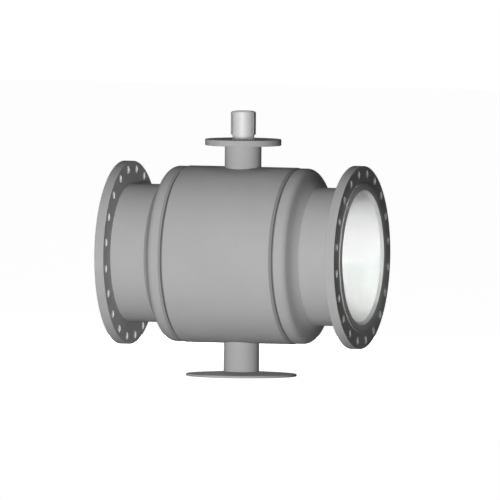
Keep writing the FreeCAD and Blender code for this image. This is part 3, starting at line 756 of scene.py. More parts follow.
@dataclass(frozen=True)
class Paint(Finish):
    """Sprayed paint: faint clouds, fine specks and an orange-peel skin.

    Fields:
        clouds: Scale of the clouds of tone.
        wear: Scale of the clouds of roughness.
        specks: Scale of the specks.
        speck_share: Share of the specks in the tone.
        peel: Scale and depth in metres of the orange peel.
        sag: Scale and depth in metres of the longer waves under it.
    """

    clouds: float = 6.0
    wear: float = 25.0
    specks: float = 420.0
    speck_share: float = 0.2
    peel: tuple[float, float] = (260.0, 0.00006)
    sag: tuple[float, float] = (18.0, 0.00024)

    def made(self, nodes: Nodes) -> bpy.types.Material:
        """Builds the paint from two sizes of cloud and two sizes of skin.

        Args:
            nodes: Nodes of the material.

        Returns:
            The material.
        """
        place = nodes.place()
        tone = nodes.mixed(
            nodes.noise(place, self.clouds, 5.0), nodes.noise(place, self.specks, 2.0), self.speck_share
        )
        (peel_scale, peel_depth), (sag_scale, sag_depth) = self.peel, self.sag
        skin = nodes.bump(nodes.noise(place, peel_scale, 2.0), peel_depth)
        skin = nodes.bump(nodes.noise(place, sag_scale, 2.0), sag_depth, skin)
        return self.shader(nodes, tone, nodes.noise(place, self.wear, 4.0), Normal=skin)


@dataclass(frozen=True)
class Turned(Finish):
    """Metal from the lathe: fine marks that run round the pipe axis or the stem axis.

    Fields:
        stray: How far the roughness strays from its middle.
        clouds: Scale of the clouds of tone.
        axis: The axis that it was turned about.
        marks: Depth of the marks in metres.
        pitch: Scale of the marks.
        mark_share: Share of the marks in the tone.
    """

    stray: float = 0.06
    clouds: float = 12.0
    axis: Axis = Axis.PIPE
    marks: float = 0.00003
    pitch: float = 900.0
    mark_share: float = 0.4

    @property
    def name(self) -> str:
        """Name of its material, one for each axis and tone."""
        return f"{self.slot}_{self.axis.value}_{round(100 * self.colour[0])}"

    def made(self, nodes: Nodes) -> bpy.types.Material:
        """Builds the metal from a noise of place along the axis and radius, which is even round the axis.

        Args:
            nodes: Nodes of the material.

        Returns:
            The material.
        """
        place = nodes.place()
        parts = nodes.add("SeparateXYZ", Vector=place).outputs
        along, across, up = parts if self.axis is Axis.PIPE else (parts[2], parts[0], parts[1])
        squares = (nodes.math("MULTIPLY", part, part) for part in (across, up))
        radius = nodes.math("SQRT", nodes.math("ADD", *squares))
        lathe = nodes.add("CombineXYZ", X=along, Y=radius, Z=0.0).outputs[0]
        lines = nodes.noise(lathe, self.pitch, 3.0)
        tone = nodes.mixed(nodes.noise(place, self.clouds, 4.0), lines, self.mark_share)
        return self.shader(nodes, tone, lines, Normal=nodes.bump(lines, self.marks))


@dataclass(frozen=True)
class Grained(Finish):
    """A grainy solid, such as graphite, rubber, plastic or weld metal.

    Fields:
        stray: How far the roughness strays from its middle.
        grain: Scale of the grain.
        depth: Depth of the grain in metres.
    """

    stray: float = 0.08
    grain: float = 500.0
    depth: float = 0.00008

    def made(self, nodes: Nodes) -> bpy.types.Material:
        """Builds the solid from one fine grain in tone, roughness and skin."""
        grain = nodes.noise(nodes.place(), self.grain, 4.0)
        return self.shader(nodes, grain, grain, Normal=nodes.bump(grain, self.depth))


class Finishes:
    """The finishes of this valve."""

    PAINT = Paint("grey_paint", (0.42, 0.42, 0.42), 0.6, gloss=0.0)
    # Bare steel of the bores and bolt holes, near white; in the bolt holes this lightness is painted light,
    # standing in for the light that their walls don't get.
    BARE_STEEL_AND_PAINTED_LIGHT = Turned("turned_steel", (0.88, 0.88, 0.88), 0.6, mottle=0.02, gloss=0.0)
    CHROME = Finish("ball_steel", (0.74, 0.74, 0.75), 0.16, 1.0, 0.02)
    STEM = Turned("polished_steel", (0.66, 0.66, 0.66), 0.55, 0.12, 0.02, 0.0, axis=Axis.STEM)
    KEY = Grained("key_steel", (0.25, 0.25, 0.25), 0.5, 0.1, gloss=0.0, grain=700.0, depth=0.00002)
    SEAT_STEEL = Turned("turned_steel", (0.62, 0.62, 0.63), 0.34, 1.0)
    TURNED = Turned("turned_steel", (0.55, 0.55, 0.56), 0.36, 1.0, axis=Axis.STEM)
    SCREW = Grained("screw_steel", (0.10, 0.10, 0.105), 0.45, 1.0)
    SPRING = Turned("spring_steel", (0.40, 0.38, 0.36), 0.38, 1.0)
    # The root bead in the groove is near black: heat-tinted weld metal, darkened further as painted shade of
    # the V-groove.
    GROOVE_WELD_AND_PAINTED_SHADE = Grained("weld_metal", (0.11, 0.11, 0.11), 0.5, gloss=0.1, grain=260.0)
    NECK_WELD = Grained("weld_metal", (0.42, 0.42, 0.42), 0.5, gloss=0.0, grain=260.0)
    BRONZE = Turned("bush_bronze", (0.62, 0.42, 0.22), 0.36, 1.0, axis=Axis.STEM)
    GRAPHITE = Grained("packing_graphite", (0.06, 0.06, 0.065), 0.6)
    PLASTIC = Grained("seat_plastic", (0.86, 0.85, 0.80), 0.42, depth=0.00002)
    RUBBER = Grained("seal_rubber", (0.03, 0.03, 0.03), 0.5, depth=0.00003)


def show(
    surface: Surface, name: str, finish: Finish, body: Body, *nodes: str, sharp: float = 32.0
) -> bpy.types.Object:
    """Makes a piece of the object from a surface.

    Args:
        surface: Its shape.
        name: Its name.
        finish: Its finish, which also names its material slot.
        body: The body that it moves with.
        *nodes: CAD nodes that it stands for.
        sharp: Edges that turn by more than this, in degrees, stay sharp.

    Returns:
        The piece.
    """
    piece = bpy.data.objects.new(name, surface.mesh(name, sharp))
    bpy.context.scene.collection.objects.link(piece)
    piece.data.materials.append(finish.material())
    weighted = piece.modifiers.new("even_shading", "WEIGHTED_NORMAL")
    weighted.keep_sharp = True
    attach(piece, body.value)
    if nodes:
        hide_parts(*nodes)
    LOG.info("%s: %d faces, stands for %s", name, len(piece.data.polygons), ", ".join(nodes) or "nothing")
    return piece


def ring(low: float, high: float, inner: float, outer: float, soft: float = 0.3) -> Array:
    """Closed profile of a plain ring with softened corners."""
    return softened(corners((low, inner, soft), (high, inner, soft), (high, outer, soft), (low, outer, soft)))


def cord_section(along: float, radius: float, size: float, count: int = 24) -> Array:
    """Round closed profile of that many corners about the point (along, radius)."""
    return arc(along, radius, size, 0, 360 - 360 / count, count - 1)


@dataclass
class BodyShell:
    """The thick tube around the ball, with an opening above and one below.

    Fields:
        patch: Half the angle of the patch that holds an opening, in degrees.
        along_steps: Faces along each patch.
        ring_steps: Faces from an opening to the edge of its patch.
    """

    patch: float = 45.0
    along_steps: int = 24
    ring_steps: int = 12

    def patch_wall(self, radius: float, half: float, hole: float, up: int) -> Array:
        """A patch of the wall with a round opening about the stem.

        A point of the wall is (x, R sin q, up R cos q). Straight rings in x and q run from the
        edge of the patch to the opening, where x = h cos b and R sin q = h sin b.

        Args:
            radius: Radius R of the wall.
            half: Half its length.
            hole: Radius h of the opening.
            up: 1 for the patch above, -1 for the one below.

        Returns:
            Rings of points, the outermost first.
        """
        limit = math.radians(self.patch)
        x = np.linspace(-half, half, self.along_steps + 1)
        edge = patch_edge(x, np.linspace(-limit, limit, Axis.PIPE.steps // 4 + 1))
        bearing = unit(edge * (1, radius))
        inner = np.stack([hole * bearing[:, 0], np.arcsin(hole * bearing[:, 1] / radius)], axis=1)
        rings = loops(edge, inner, self.ring_steps + 1)
        return np.stack(
            [rings[..., 0], radius * np.sin(rings[..., 1]), up * radius * np.cos(rings[..., 1])], axis=-1
        )

    def build(self) -> None:
        """Builds the shell from its two ends, two side walls and two opened patches."""
        shell = Surface()
        bevel = S.shell_end - S.groove_half
        for hole, up in ((S.housing_r, 1), (S.trunnion_r, -1)):
            outside = self.patch_wall(S.shell_out, bevel, hole, up)
            inside = self.patch_wall(S.shell_in, S.shell_end, hole, up)
            shell.add(np.concatenate([outside, inside[::-1]]))
        x = np.linspace(-1, 1, self.along_steps + 1)[:, None]
        swing = np.radians(np.linspace(-self.patch, self.patch, Axis.PIPE.steps // 4 + 1))
        for start in (0.0, np.pi):
            for radius, half in ((S.shell_out, bevel), (S.shell_in, S.shell_end)):
                shell.add(around(Axis.PIPE, x * half, radius, swing[None, :] + start), close_columns=False)
        rim = corners((bevel, S.shell_out), (S.shell_end, S.groove_root), (S.shell_end, S.shell_in))
        shell.strips(Axis.PIPE, *(side.facing(rim) for side in Side))
        show(shell, "painted_body_shell", Finishes.PAINT, Body.VALVE, "body_shell")


@dataclass
class EndClosure:
    """The forging that closes the shell and runs down to the neck.

    Fields:
        side: Left or right.
        spigot: Length that enters the shell.
        spigot_wall: Wall of that length.
        band: Straight outside behind the groove.
        mouth_gap: From the seat line to the mouth of the seat pocket.
        knuckle: Radius of the rounded shoulder.
        flank: Slope of the flank, in degrees.
        flank_share: Straight part of the drop from the shoulder to the neck.
    """

    side: Side
    spigot: float = 31.5
    spigot_wall: float = 36.0
    band: float = 25.0
    mouth_gap: float = 1.4
    knuckle: float = 33.0
    flank: float = 68.0
    flank_share: float = 0.345

    def profile(self) -> Array:
        """The closed section: band, shoulder arc, flank, sweep to the neck, cone, lip and pocket.

        The flank drops by its share of what lies between the shoulder and the neck, and the sweep
        leaves it along its own line.

        Returns:
            Rows of place along the pipe and radius.
        """
        mouth = S.seat_x - self.mouth_gap
        band_end = S.shell_end + S.groove_half + self.band
        spigot_in = S.shell_in - self.spigot_wall
        shoulder = arc(band_end, S.closure_r - self.knuckle, self.knuckle, 90, 90 - self.flank, 14)
        corner_x, corner_r = shoulder[-1, :2]
        drop = (corner_r - S.neck_out) * self.flank_share
        flank_end = (corner_x + drop / math.tan(math.radians(self.flank)), corner_r - drop)
        foot = sweep(flank_end, (S.closure_end, S.neck_out), -self.flank, 16)
        return softened(np.concatenate([
            corners(
                (S.shell_end - self.spigot, spigot_in, 1.0),
                (S.shell_end - self.spigot, S.shell_in, 1.0),
                (S.shell_end, S.shell_in),
                (S.shell_end, S.groove_root),
                (S.shell_end + S.groove_half, S.closure_r, 0.8),
            ),
            shoulder,
            foot,
            corners(
                (S.closure_end, S.neck_in + S.skin),
                (S.lip_end, S.retainer_in + S.skin),
                (S.pocket_floor, S.retainer_in + S.skin),
                (S.pocket_floor, S.pocket_r, 0.8),
                (mouth, S.pocket_r, 0.8),
                (mouth, spigot_in, 1.0),
            ),
        ]))

    def build(self) -> None:
        """Builds the closure."""
        closure = Surface().turned(Axis.PIPE, self.side.facing(self.profile()))
        name = self.side.named("end_closure")
        show(closure, f"painted_{name}", Finishes.PAINT, Body.VALVE, name, sharp=26.0)


@dataclass
class Neck:
    """The neck tube, its butt weld, and the weld in the shell's groove.

    Fields:
        side: Left or right.
        ripples: Ripples round each weld.
        ripple_height: Height of a ripple.
        bend: How far a ripple trails at the middle of the bead, in ripples.
        neck_crown: Rise of the neck weld.
        groove_crown: Rise of the groove weld.
        across: Faces across a bead.
        ripple_steps: Faces along a ripple.
    """

    side: Side
    ripples: int = 300
    ripple_height: float = 0.35
    bend: float = 0.4
    neck_crown: float = 1.35
    groove_crown: float = 0.75
    across: int = 8
    ripple_steps: int = 4

    def bead(self, low: float, high: float, base: float, crown: float, root: Array) -> Surface:
        """A weld bead with ripples round the pipe.

        Across the bead, at u from 0 to 1, the radius is base + crown sin(pi u), and the ripples
        add h sin(pi u) (cos(n a - 2 pi bend sin(pi u)) - 1) / 2, which bends each into a scallop.

        Args:
            low: Near edge of the bead.
            high: Far edge.
            base: Radius at both edges.
            crown: Rise at the middle.
            root: Open profile below the bead, from its far edge to its near edge.

        Returns:
            The closed bead.
        """
        u = np.linspace(0, 1, self.across + 1)[:, None]
        steps = self.ripples * self.ripple_steps
        angle = np.arange(steps)[None, :] * 2 * np.pi / steps
        hump = np.sin(np.pi * u)
        wave = np.cos(self.ripples * angle - 2 * np.pi * self.bend * hump)
        radius = base + crown * hump + self.ripple_height * hump * (wave - 1) / 2
        bead = Surface().add(around(Axis.PIPE, self.side.value * (low + (high - low) * u), radius, angle))
        return bead.turned(Axis.PIPE, self.side.facing(root), steps, open_ends=True)

    def neck_weld(self) -> Surface:
        """The butt weld between the closure and the neck tube.

        Returns:
            The closed bead.
        """
        low, high, inner = S.closure_end, S.neck_start, S.neck_in + S.skin
        root = corners((high, S.neck_out), (high, inner), (low, inner), (low, S.neck_out))
        return self.bead(low, high, S.neck_out, self.neck_crown, root)

    def groove_weld(self) -> Surface:
        """The root bead of the V-groove, as wide as the groove is at the bead's height.

        At height h over the root a flank of the groove has run half its width times h over its depth.

        Returns:
            The closed bead.
        """
        crown = S.groove_root + S.bead_height
        low = S.shell_end - S.groove_half * S.bead_height / (S.shell_out - S.groove_root)
        high = S.shell_end + S.groove_half * S.bead_height / (S.closure_r - S.groove_root)
        root = corners((high, crown), (S.shell_end, S.groove_root), (low, crown))
        return self.bead(low, high, crown, self.groove_crown, root)

    def build(self) -> None:
        """Builds the tube and the two welds."""
        tube = corners(
            (S.neck_start, S.neck_in + S.skin), (S.neck_end, S.neck_in + S.skin),
            (S.neck_end, S.neck_out), (S.neck_start, S.neck_out),
        )
        tube = Surface().turned(Axis.PIPE, self.side.facing(tube))
        for surface, way, node, finish in (
            (tube, "painted", "neck_tube", Finishes.PAINT),
            (self.neck_weld(), "rippled", "neck_weld", Finishes.NECK_WELD),
            # The groove's root bead is near black, partly weld metal and partly painted shade of the
            # V-groove.
            (self.groove_weld(), "rippled", "body_weld", Finishes.GROOVE_WELD_AND_PAINTED_SHADE),
        ):
            name = self.side.named(node)
            show(surface, f"{way}_{name}", finish, Body.VALVE, name)


@dataclass
class PipeFlange:
    """A pipe flange with its raised face, chamfered mouth and bolt holes, and the bare metal in them, which
    in the bolt holes is near white as painted light.

    Fields:
        side: Left or right.
        outer_r: Outside of the flange.
        edge: Chamfer of the rim.
        raised_r: Outside of the raised face.
        raised_edge: Chamfer of the raised face.
        mouth_r: Mouth of the bore.
        mouth_depth: Depth of the chamfer at the mouth.
        bolt_circle: Radius of the bolt circle.
        hole_r: Radius of the bolt holes.
        hole_edge: Chamfer of the bolt holes.
        hole_count: Number of bolt holes.
        first_hole: Angle of the first bolt hole, in degrees.
        seam: Half the width of the fine seam between neck and flange in the bore.
    """

    side: Side
    outer_r: float = 420.0
    edge: float = 1.5
    raised_r: float = 342.5
    raised_edge: float = 0.8
    mouth_r: float = 309.0
    mouth_depth: float = 13.0
    bolt_circle: float = 385.0
    hole_r: float = 18.5
    hole_edge: float = 0.4
    hole_count: int = 20
    first_hole: float = 9.0
    seam: float = 1.0

    def holes(self) -> HoleRing:
        """The bolt holes as the paint leaves them.

        Returns:
            Holes that are a skin wider than their bare metal.
        """
        wide = self.hole_r + S.skin
        bore = self.side.facing(corners(
            (S.bolt_face, wide + self.hole_edge), (S.bolt_face - self.hole_edge, wide),
            (S.flange_back + self.hole_edge, wide), (S.flange_back, wide + self.hole_edge),
        ))
        return HoleRing(self.bolt_circle, self.first_hole, bore, self.hole_count)

    def painted(self) -> Surface:
        """The flange, from its drilled faces, its rim and its turned inside.

        Returns:
            The closed surface.
        """
        back, front, face = S.flange_back, S.bolt_face, S.half_length
        flat_r, inner = self.outer_r - self.edge, S.neck_in + S.skin
        rim = corners(
            (front, flat_r), (front - self.edge, self.outer_r),
            (back + self.edge, self.outer_r), (back, flat_r),
        )
        inside = corners(
            (back, self.raised_r), (back, S.neck_out), (S.neck_end, S.neck_out), (S.neck_end, inner),
            (face - self.mouth_depth, inner), (face, self.mouth_r + S.skin),
            (face, self.raised_r - self.raised_edge), (face - self.raised_edge, self.raised_r),
            (front, self.raised_r),
        )
        flange = Surface()
        self.holes().cut(flange, Axis.PIPE, self.raised_r, flat_r, through=True)
        return flange.strips(Axis.PIPE, self.side.facing(rim), self.side.facing(inside))

    def bare_bore(self) -> Surface:
        """The bare metal from the seat pocket to the mouth.

        Returns:
            A closed skin: the bore's wall, and the same wall one skin further out.
        """
        wall = corners(
            (S.pocket_floor, S.retainer_in), (S.lip_end, S.retainer_in), (S.closure_end, S.neck_in),
            (S.half_length - self.mouth_depth, S.neck_in), (S.half_length, self.mouth_r),
        )
        seam = corners(
            (S.neck_end - self.seam, S.neck_in), (S.neck_end, S.neck_in + S.skin / 2),
            (S.neck_end + self.seam, S.neck_in),
        )
        profile = np.concatenate([wall[:3], seam, wall[3:], wall[::-1] + (0, S.skin, 0)])
        return Surface().turned(Axis.PIPE, self.side.facing(profile))

    def bare_holes_painted_light(self) -> Surface:
        """The bare metal in the bolt holes, near white as painted light that stands in for the light their
        walls don't get.

        Returns:
            A closed skin for each hole.
        """
        low, high = S.bolt_face - self.hole_edge, S.flange_back + self.hole_edge
        inner, outer = self.hole_r, self.hole_r + S.skin
        section = corners((low, inner), (high, inner), (high, outer), (low, outer))
        return self.holes().lining(Axis.PIPE, self.side.facing(section))

    def build(self) -> None:
        """Builds the flange and the bare metal, whose near-white tone in the bolt holes is painted light."""
        name = self.side.named("flange")
        show(self.painted(), f"painted_{name}", Finishes.PAINT, Body.VALVE, name)
        show(self.bare_bore(), self.side.named("bare_bore"), Finishes.BARE_STEEL_AND_PAINTED_LIGHT, Body.VALVE)
        # The bolt holes' bare metal is near white as painted light for their shadowed walls.
        show(self.bare_holes_painted_light(), self.side.named("bare_bolt_holes_painted_light"), Finishes.BARE_STEEL_AND_PAINTED_LIGHT, Body.VALVE)


@dataclass
class Seat:
    """A sliding seat: retainer, soft ring, O-ring and disc spring.

    Fields:
        side: Left or right.
        outer: Outside of the retainer.
        reach: From the seat line forward to the retainer's rim.
        face_gap: Room between the retainer's face and the ball.
        ring_half: Half the width of the soft ring.
        ring_depth: Depth of the soft ring behind the seat line.
        ring_gap: Room between the soft ring and the ball.
        cord: Cord of the O-ring.
        cord_x: From the seat line to the O-ring.
        cord_room: Room beside the cord in its groove.
        cord_gap: Room between the cord and the pocket.
        spring_wall: Thickness of the disc spring along the pipe.
        spring_gap: Room between the retainer and the spring.
        spring_inset: From the middle of the soft ring to the bore of the spring.
        spring_room: Room outside the spring.
        pressed: Height of the disc spring when the seat is pushed back, as a share of its height. Not used.
    """

    side: Side
    outer: float = 290.7
    reach: float = 9.4
    face_gap: float = 1.2
    ring_half: float = 6.0
    ring_depth: float = 12.6
    ring_gap: float = 0.3
    cord: float = 7.2
    cord_x: float = 32.6
    cord_room: float = 0.4
    cord_gap: float = 0.3
    spring_wall: float = 3.0
    spring_gap: float = 0.2
    spring_inset: float = 5.0
    spring_room: float = 3.0
    pressed: float = 0.79

    def curved(self, inner: float, outer: float, gap: float, steps: int) -> Array:
        """Corners of a face that follows the ball: x = sqrt((R + gap)^2 - r^2)."""
        radius = np.linspace(outer, inner, steps + 1)
        return np.stack([np.sqrt((S.ball_r + gap) ** 2 - radius**2), radius, 0 * radius], axis=1)

    def retainer(self) -> Array:
        """Section of the retainer, with the groove of the O-ring and the groove of the soft ring.

        Returns:
            Rows of place along the pipe and radius.
        """
        front, back = S.seat_x - self.reach, S.retainer_back
        middle, half = S.seat_x + self.cord_x, self.cord / 2 + self.cord_room
        floor_r = S.pocket_r - self.cord_gap - self.cord
        seat_in, seat_out = S.seat_r - self.ring_half, S.seat_r + self.ring_half
        front_r = math.sqrt((S.ball_r + self.face_gap) ** 2 - front**2)
        ring_floor = S.seat_x + self.ring_depth
        return softened(np.concatenate([
            corners(
                (back, S.retainer_in, 1.0), (back, self.outer, 1.0),
                (middle + half, self.outer, 0.3), (middle + half, floor_r, 0.4),
                (middle - half, floor_r, 0.4), (middle - half, self.outer, 0.3),
                (front, self.outer, 1.0),
            ),
            self.curved(seat_out, front_r, self.face_gap, 4),
            corners((ring_floor, seat_out, 0.3), (ring_floor, seat_in, 0.3)),
            self.curved(S.retainer_in, seat_in, self.face_gap, 2),
        ]))

    def soft_ring(self) -> Array:
        """Section of the soft ring.

        Returns:
            Rows of place along the pipe and radius.
        """
        inner, outer = S.seat_r - self.ring_half, S.seat_r + self.ring_half
        back = S.seat_x + self.ring_depth
        front = self.curved(inner, outer, self.ring_gap, 6)
        return np.concatenate([corners((back, inner), (back, outer)), front])

    def o_ring(self) -> Array:
        """Section of the O-ring."""
        return cord_section(S.seat_x + self.cord_x, S.pocket_r - self.cord_gap - self.cord / 2, self.cord / 2)

    def spring(self) -> Array:
        """Section of the disc spring, which leans from the retainer out to the pocket's floor.

        Returns:
            Rows of place along the pipe and radius.
        """
        near, inner = S.retainer_back + self.spring_gap, S.seat_r + self.spring_inset
        far, outer, soft = S.pocket_floor, S.pocket_r - self.spring_room, 0.6
        return softened(corners(
            (near, inner, soft), (near + self.spring_wall, inner, soft),
            (far, outer, soft), (far - self.spring_wall, outer, soft),
        ))

    def build(self) -> None:
        """Builds the four pieces."""
        body = Body.LEFT_SEAT if self.side is Side.LEFT else Body.RIGHT_SEAT
        for node, profile, finish, rides in (
            ("seat_retainer", self.retainer(), Finishes.SEAT_STEEL, body),
            ("seat_ring", self.soft_ring(), Finishes.PLASTIC, body),
            ("seat_o_ring", self.o_ring(), Finishes.RUBBER, body),
            ("seat_spring", self.spring(), Finishes.SPRING, Body.VALVE),
        ):
            name = self.side.named(node)
            surface = Surface().turned(Axis.PIPE, self.side.facing(profile))
            piece = show(surface, f"smooth_{name}", finish, rides, name)
        self.side.named("seat_slide")
        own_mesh(piece)


@dataclass
class Foot:
    """The foot plate and the tube that stands on it.

    Fields:
        radius: Outside of the plate.
        rim: Thickness at the rim.
        crown: Thickness under the tube.
        rounding: Rounded rim.
        tube_out: Outside of the tube.
        tube_in: Inside of the tube.
    """

    radius: float = 254.0
    rim: float = 10.4
    crown: float = 21.0
    rounding: float = 4.0
    tube_out: float = 81.0
    tube_in: float = 71.0

    def build(self) -> None:
        """Builds the plate, and the tube with its upper end cut to the shell at z = -sqrt(R^2 - y^2)."""
        floor = -S.pipe_height
        plate = softened(corners(
            (floor, 0.0), (floor, self.radius, self.rounding), (floor + self.rim, self.radius, self.rounding),
            (floor + self.crown, self.tube_out), (floor + self.crown, 0.0),
        ), steps=6)
        foot_plate = Surface().strips(Axis.STEM, plate)
        show(foot_plate, "painted_foot_plate", Finishes.PAINT, Body.VALVE, "foot_plate")
        angle = np.arange(Axis.STEM.steps) * 2 * np.pi / Axis.STEM.steps
        radius = np.array([self.tube_in, self.tube_out, self.tube_out, self.tube_in])[:, None]
        coped = np.array([False, False, True, True])[:, None]
        height = np.where(coped, -np.sqrt(S.shell_out**2 - (radius * np.sin(angle)) ** 2), floor + self.crown)
        tube = Surface().add(around(Axis.STEM, height, radius, angle), close_rows=True)
        show(tube, "painted_support_tube", Finishes.PAINT, Body.VALVE, "support_tube")


@dataclass
class Ball:
    """The drilled ball, open to the pipe, with a slot for the stem above and a socket below.

    Fields:
        slot_half: Half the width of the slot.
        patch: Half the angle of the patches that hold the two flats, in degrees.
        steps: Faces along the ball between its two mouths.
        ring_steps: Faces from a flat to the edge of its patch.
    """

    slot_half: float = 30.3
    patch: float = 45.0
    steps: int = 48
    ring_steps: int = 16

    def on_ball(self, tilt: Array, swing: Array, up: int) -> Array:
        """Points (R sin t, R cos t sin q, up R cos t cos q) of the ball."""
        across, high = np.cos(tilt) * np.sin(swing), up * np.cos(tilt) * np.cos(swing)
        return S.ball_r * np.stack(np.broadcast_arrays(np.sin(tilt), across, high), axis=-1)

    def build(self) -> None:
        """Builds the ball from two patches with flats, two side patches and the bore.

        At bearing b the edge of a flat, of radius f and height h, lies at tilt asin(f cos b / R) and
        swing atan(f sin b / h). The slot's wall lies t / |sin b| from the stem's axis, and its round
        ends at most.
        """
        end = math.acos(S.bore_r / S.ball_r)
        limit = math.radians(self.patch)
        tilt = np.linspace(-end, end, self.steps + 1)
        swing = np.linspace(-limit, limit, Axis.PIPE.steps // 4 + 1)
        edge = patch_edge(tilt, swing)
        bearing = unit(edge)
        flat_r = math.sqrt(S.ball_r**2 - S.ball_flat**2)
        flat = np.stack([
            np.arcsin(flat_r * bearing[:, 0] / S.ball_r),
            np.arctan2(flat_r * bearing[:, 1], S.ball_flat),
        ], axis=1)
        rings = loops(edge, flat, self.ring_steps + 1)
        slot = np.minimum(S.land_r, self.slot_half / np.maximum(np.abs(bearing[:, 1]), 1e-6))
        ball = Surface()
        for up, reach in ((1, slot), (-1, 0 * slot + S.bush_r)):
            rows = [*self.on_ball(rings[..., 0], rings[..., 1], up)]
            for size, height in ((reach, S.ball_flat), (reach, S.slot_floor), (0 * reach, S.slot_floor)):
                rows.append(np.column_stack([size[:, None] * bearing, 0 * size + up * height]))
            ball.add(np.stack(rows))
        side = swing[None, :] + np.pi / 2
        for up in (1, -1):
            ball.add(self.on_ball(tilt[:, None], side * up, 1), close_columns=False)
        mouth = S.ball_r * math.sin(end)
        ball.strips(Axis.PIPE, np.array([(-mouth, S.bore_r), (mouth, S.bore_r)]))
        show(ball, "drilled_ball", Finishes.CHROME, Body.BALL, "ball")


@dataclass
class Stem:
    """The stem with its two keys and its two O-rings.

    Fields:
        blade_half: Half the thickness of the tongue that stands in the ball's slot.
        tip_room: Room between the tongue and the slot's floor.
        collar: Heights of the collar's underside and top.
        end_r: Radius of the end that the actuator turns.
        step_edge: Chamfer of the step below that end.
        top: End of the stem.
        end_edge: Chamfer of the stem's end.
        centre_hole: Radius, straight depth and whole depth of the centre hole.
        key_half: Half the width of a key.
        key_floor: Floor of a keyway, from the stem axis.
        key_top: Outside of a key, from the stem axis.
        key_low: Lower end of the keys.
        key_high: Upper end of the keys.
        key_bevel: Bevel of a key's ends.
        key_soft: Softness of a key's edges.
        cord: Cord of the O-rings.
        groove_r: Floor of the O-ring grooves.
        groove_half: Half the width of a groove.
        rings: Heights of the two O-rings.
    """

    blade_half: float = 30.0
    tip_room: float = 4.0
    collar: tuple[float, float] = (360.0, 378.0)
    end_r: float = 50.0
    step_edge: float = 0.6
    top: float = 661.0
    end_edge: float = 5.0
    centre_hole: tuple[float, float, float] = (8.5, 8.0, 12.25)
    key_half: float = 14.0
    key_floor: float = 40.0
    key_top: float = 56.0
    key_low: float = 549.0
    key_high: float = 659.0
    key_bevel: float = 6.0
    key_soft: float = 0.4
    cord: float = 4.8
    groove_r: float = 47.2
    groove_half: float = 2.8
    rings: tuple[float, float] = (438.1, 454.1)

    def section(self, radius: float, notched: bool) -> Array:
        """Outline of the stem across its axis, with or without the two keyways.

        A point of the round part is r (cos a, sin a). A keyway of half width h takes the points within
        asin(h / r) of X, and puts them on its two flanks and its floor.

        Args:
            radius: Radius of the round part.
            notched: Whether the keyways are cut.

        Returns:
            Points in order round the axis, as many with keyways as without.
        """
        half = math.asin(self.key_half / radius)
        notch = np.linspace(-half, half, 7)
        points = radius * np.stack([np.cos(notch), np.sin(notch)], axis=1)
        if notched:
            across = self.key_half * np.array([-1, -1, -0.5, 0, 0.5, 1, 1])
            inward = np.array([points[0, 0], *[self.key_floor] * 5, points[0, 0]])
            points = np.stack([inward, across], axis=1)
        turn = np.linspace(half, np.pi - half, 63)[1:-1]
        bow = radius * np.stack([np.cos(turn), np.sin(turn)], axis=1)
        return np.concatenate([points, bow, -points, -bow])

    def levels(self) -> list[tuple[Array, float]]:
        """The stem's outlines with their heights, from its tip to its end.

        At bearing b the tongue's outline has the radius t / |sin b|, and the stem's own at most.

        Returns:
            Pairs of an outline and its height.
        """
        plain, end = self.section(S.stem_r, False), self.section(self.end_r, False)
        cut, bevelled = self.section(self.end_r, True), self.section(self.end_r - self.end_edge, True)
        bearing = unit(plain)
        blade_r = np.minimum(S.stem_r, self.blade_half / np.maximum(np.abs(bearing[:, 1]), 1e-6))
        blade = blade_r[:, None] * bearing
        tip, (low, high) = S.slot_floor + self.tip_room, self.collar
        turned = [(S.washer_r, low), (S.washer_r, high), (S.stem_r, high)]
        for middle in self.rings:
            below, above = middle - self.groove_half, middle + self.groove_half
            turned += [(S.stem_r, below), (self.groove_r, below), (self.groove_r, above), (S.stem_r, above)]
        hole_r, straight, depth = self.centre_hole
        return [
            (0 * plain, tip), (blade, tip), (blade, low),
            *((bearing * radius, height) for radius, height in turned),
            (plain, S.recess_floor - self.step_edge),
            (bearing * (S.stem_r - self.step_edge), S.recess_floor),
            (end, S.recess_floor), (end, self.key_low),
            (cut, self.key_low), (cut, self.top - self.end_edge), (bevelled, self.top),
            (bearing * hole_r, self.top), (bearing * hole_r, self.top - straight),
            (0 * plain, self.top - depth),
        ]

    def key(self, side: Side) -> None:
        """Builds a key.

        Row k of its grid is the bevelled outline (x, z) at one place across the stem. At the two
        flanks the outline is shrunk by the softness, and then closes in its middle.

        Args:
            side: The side of the stem that the key is on.
        """
        low, high, floor, top = self.key_low, self.key_high, self.key_floor, self.key_top
        bevel, soft, half = self.key_bevel, self.key_soft, self.key_half
        outline = softened(corners(
            (floor, low, soft), (top - bevel, low, 2 * soft), (top, low + bevel, 2 * soft),
            (top, high - bevel, 2 * soft), (top - bevel, high, 2 * soft), (floor, high, soft),
        ))
        middle = outline.mean(axis=0)
        inset = outline - soft * unit(outline - middle)
        grid = np.stack([
            np.column_stack([side.value * points[:, 0], np.full(len(points), across), points[:, 1]])
            for points, across in (
                (0 * outline + middle, -half), (inset, -half), (outline, soft - half),
                (outline, half - soft), (inset, half), (0 * outline + middle, half),
            )
        ])
        name = side.named("key")
        show(Surface().add(grid), f"ground_{name}", Finishes.KEY, Body.BALL, name, sharp=40.0)

    def build(self) -> None:
        """Builds the stem, then the keys and the O-rings."""
        grid = np.stack([
            np.column_stack([points, np.full(len(points), height)]) for points, height in self.levels()
        ])
        show(Surface().add(grid), "turned_stem", Finishes.STEM, Body.BALL, "stem")
        for side in Side:
            self.key(side)
        rings = Surface()
        for middle in self.rings:
            rings.turned(Axis.STEM, cord_section(middle, S.stem_r - self.cord / 2, self.cord / 2))
        show(rings, "smooth_stem_o_rings", Finishes.RUBBER, Body.BALL, "stem_o_rings")


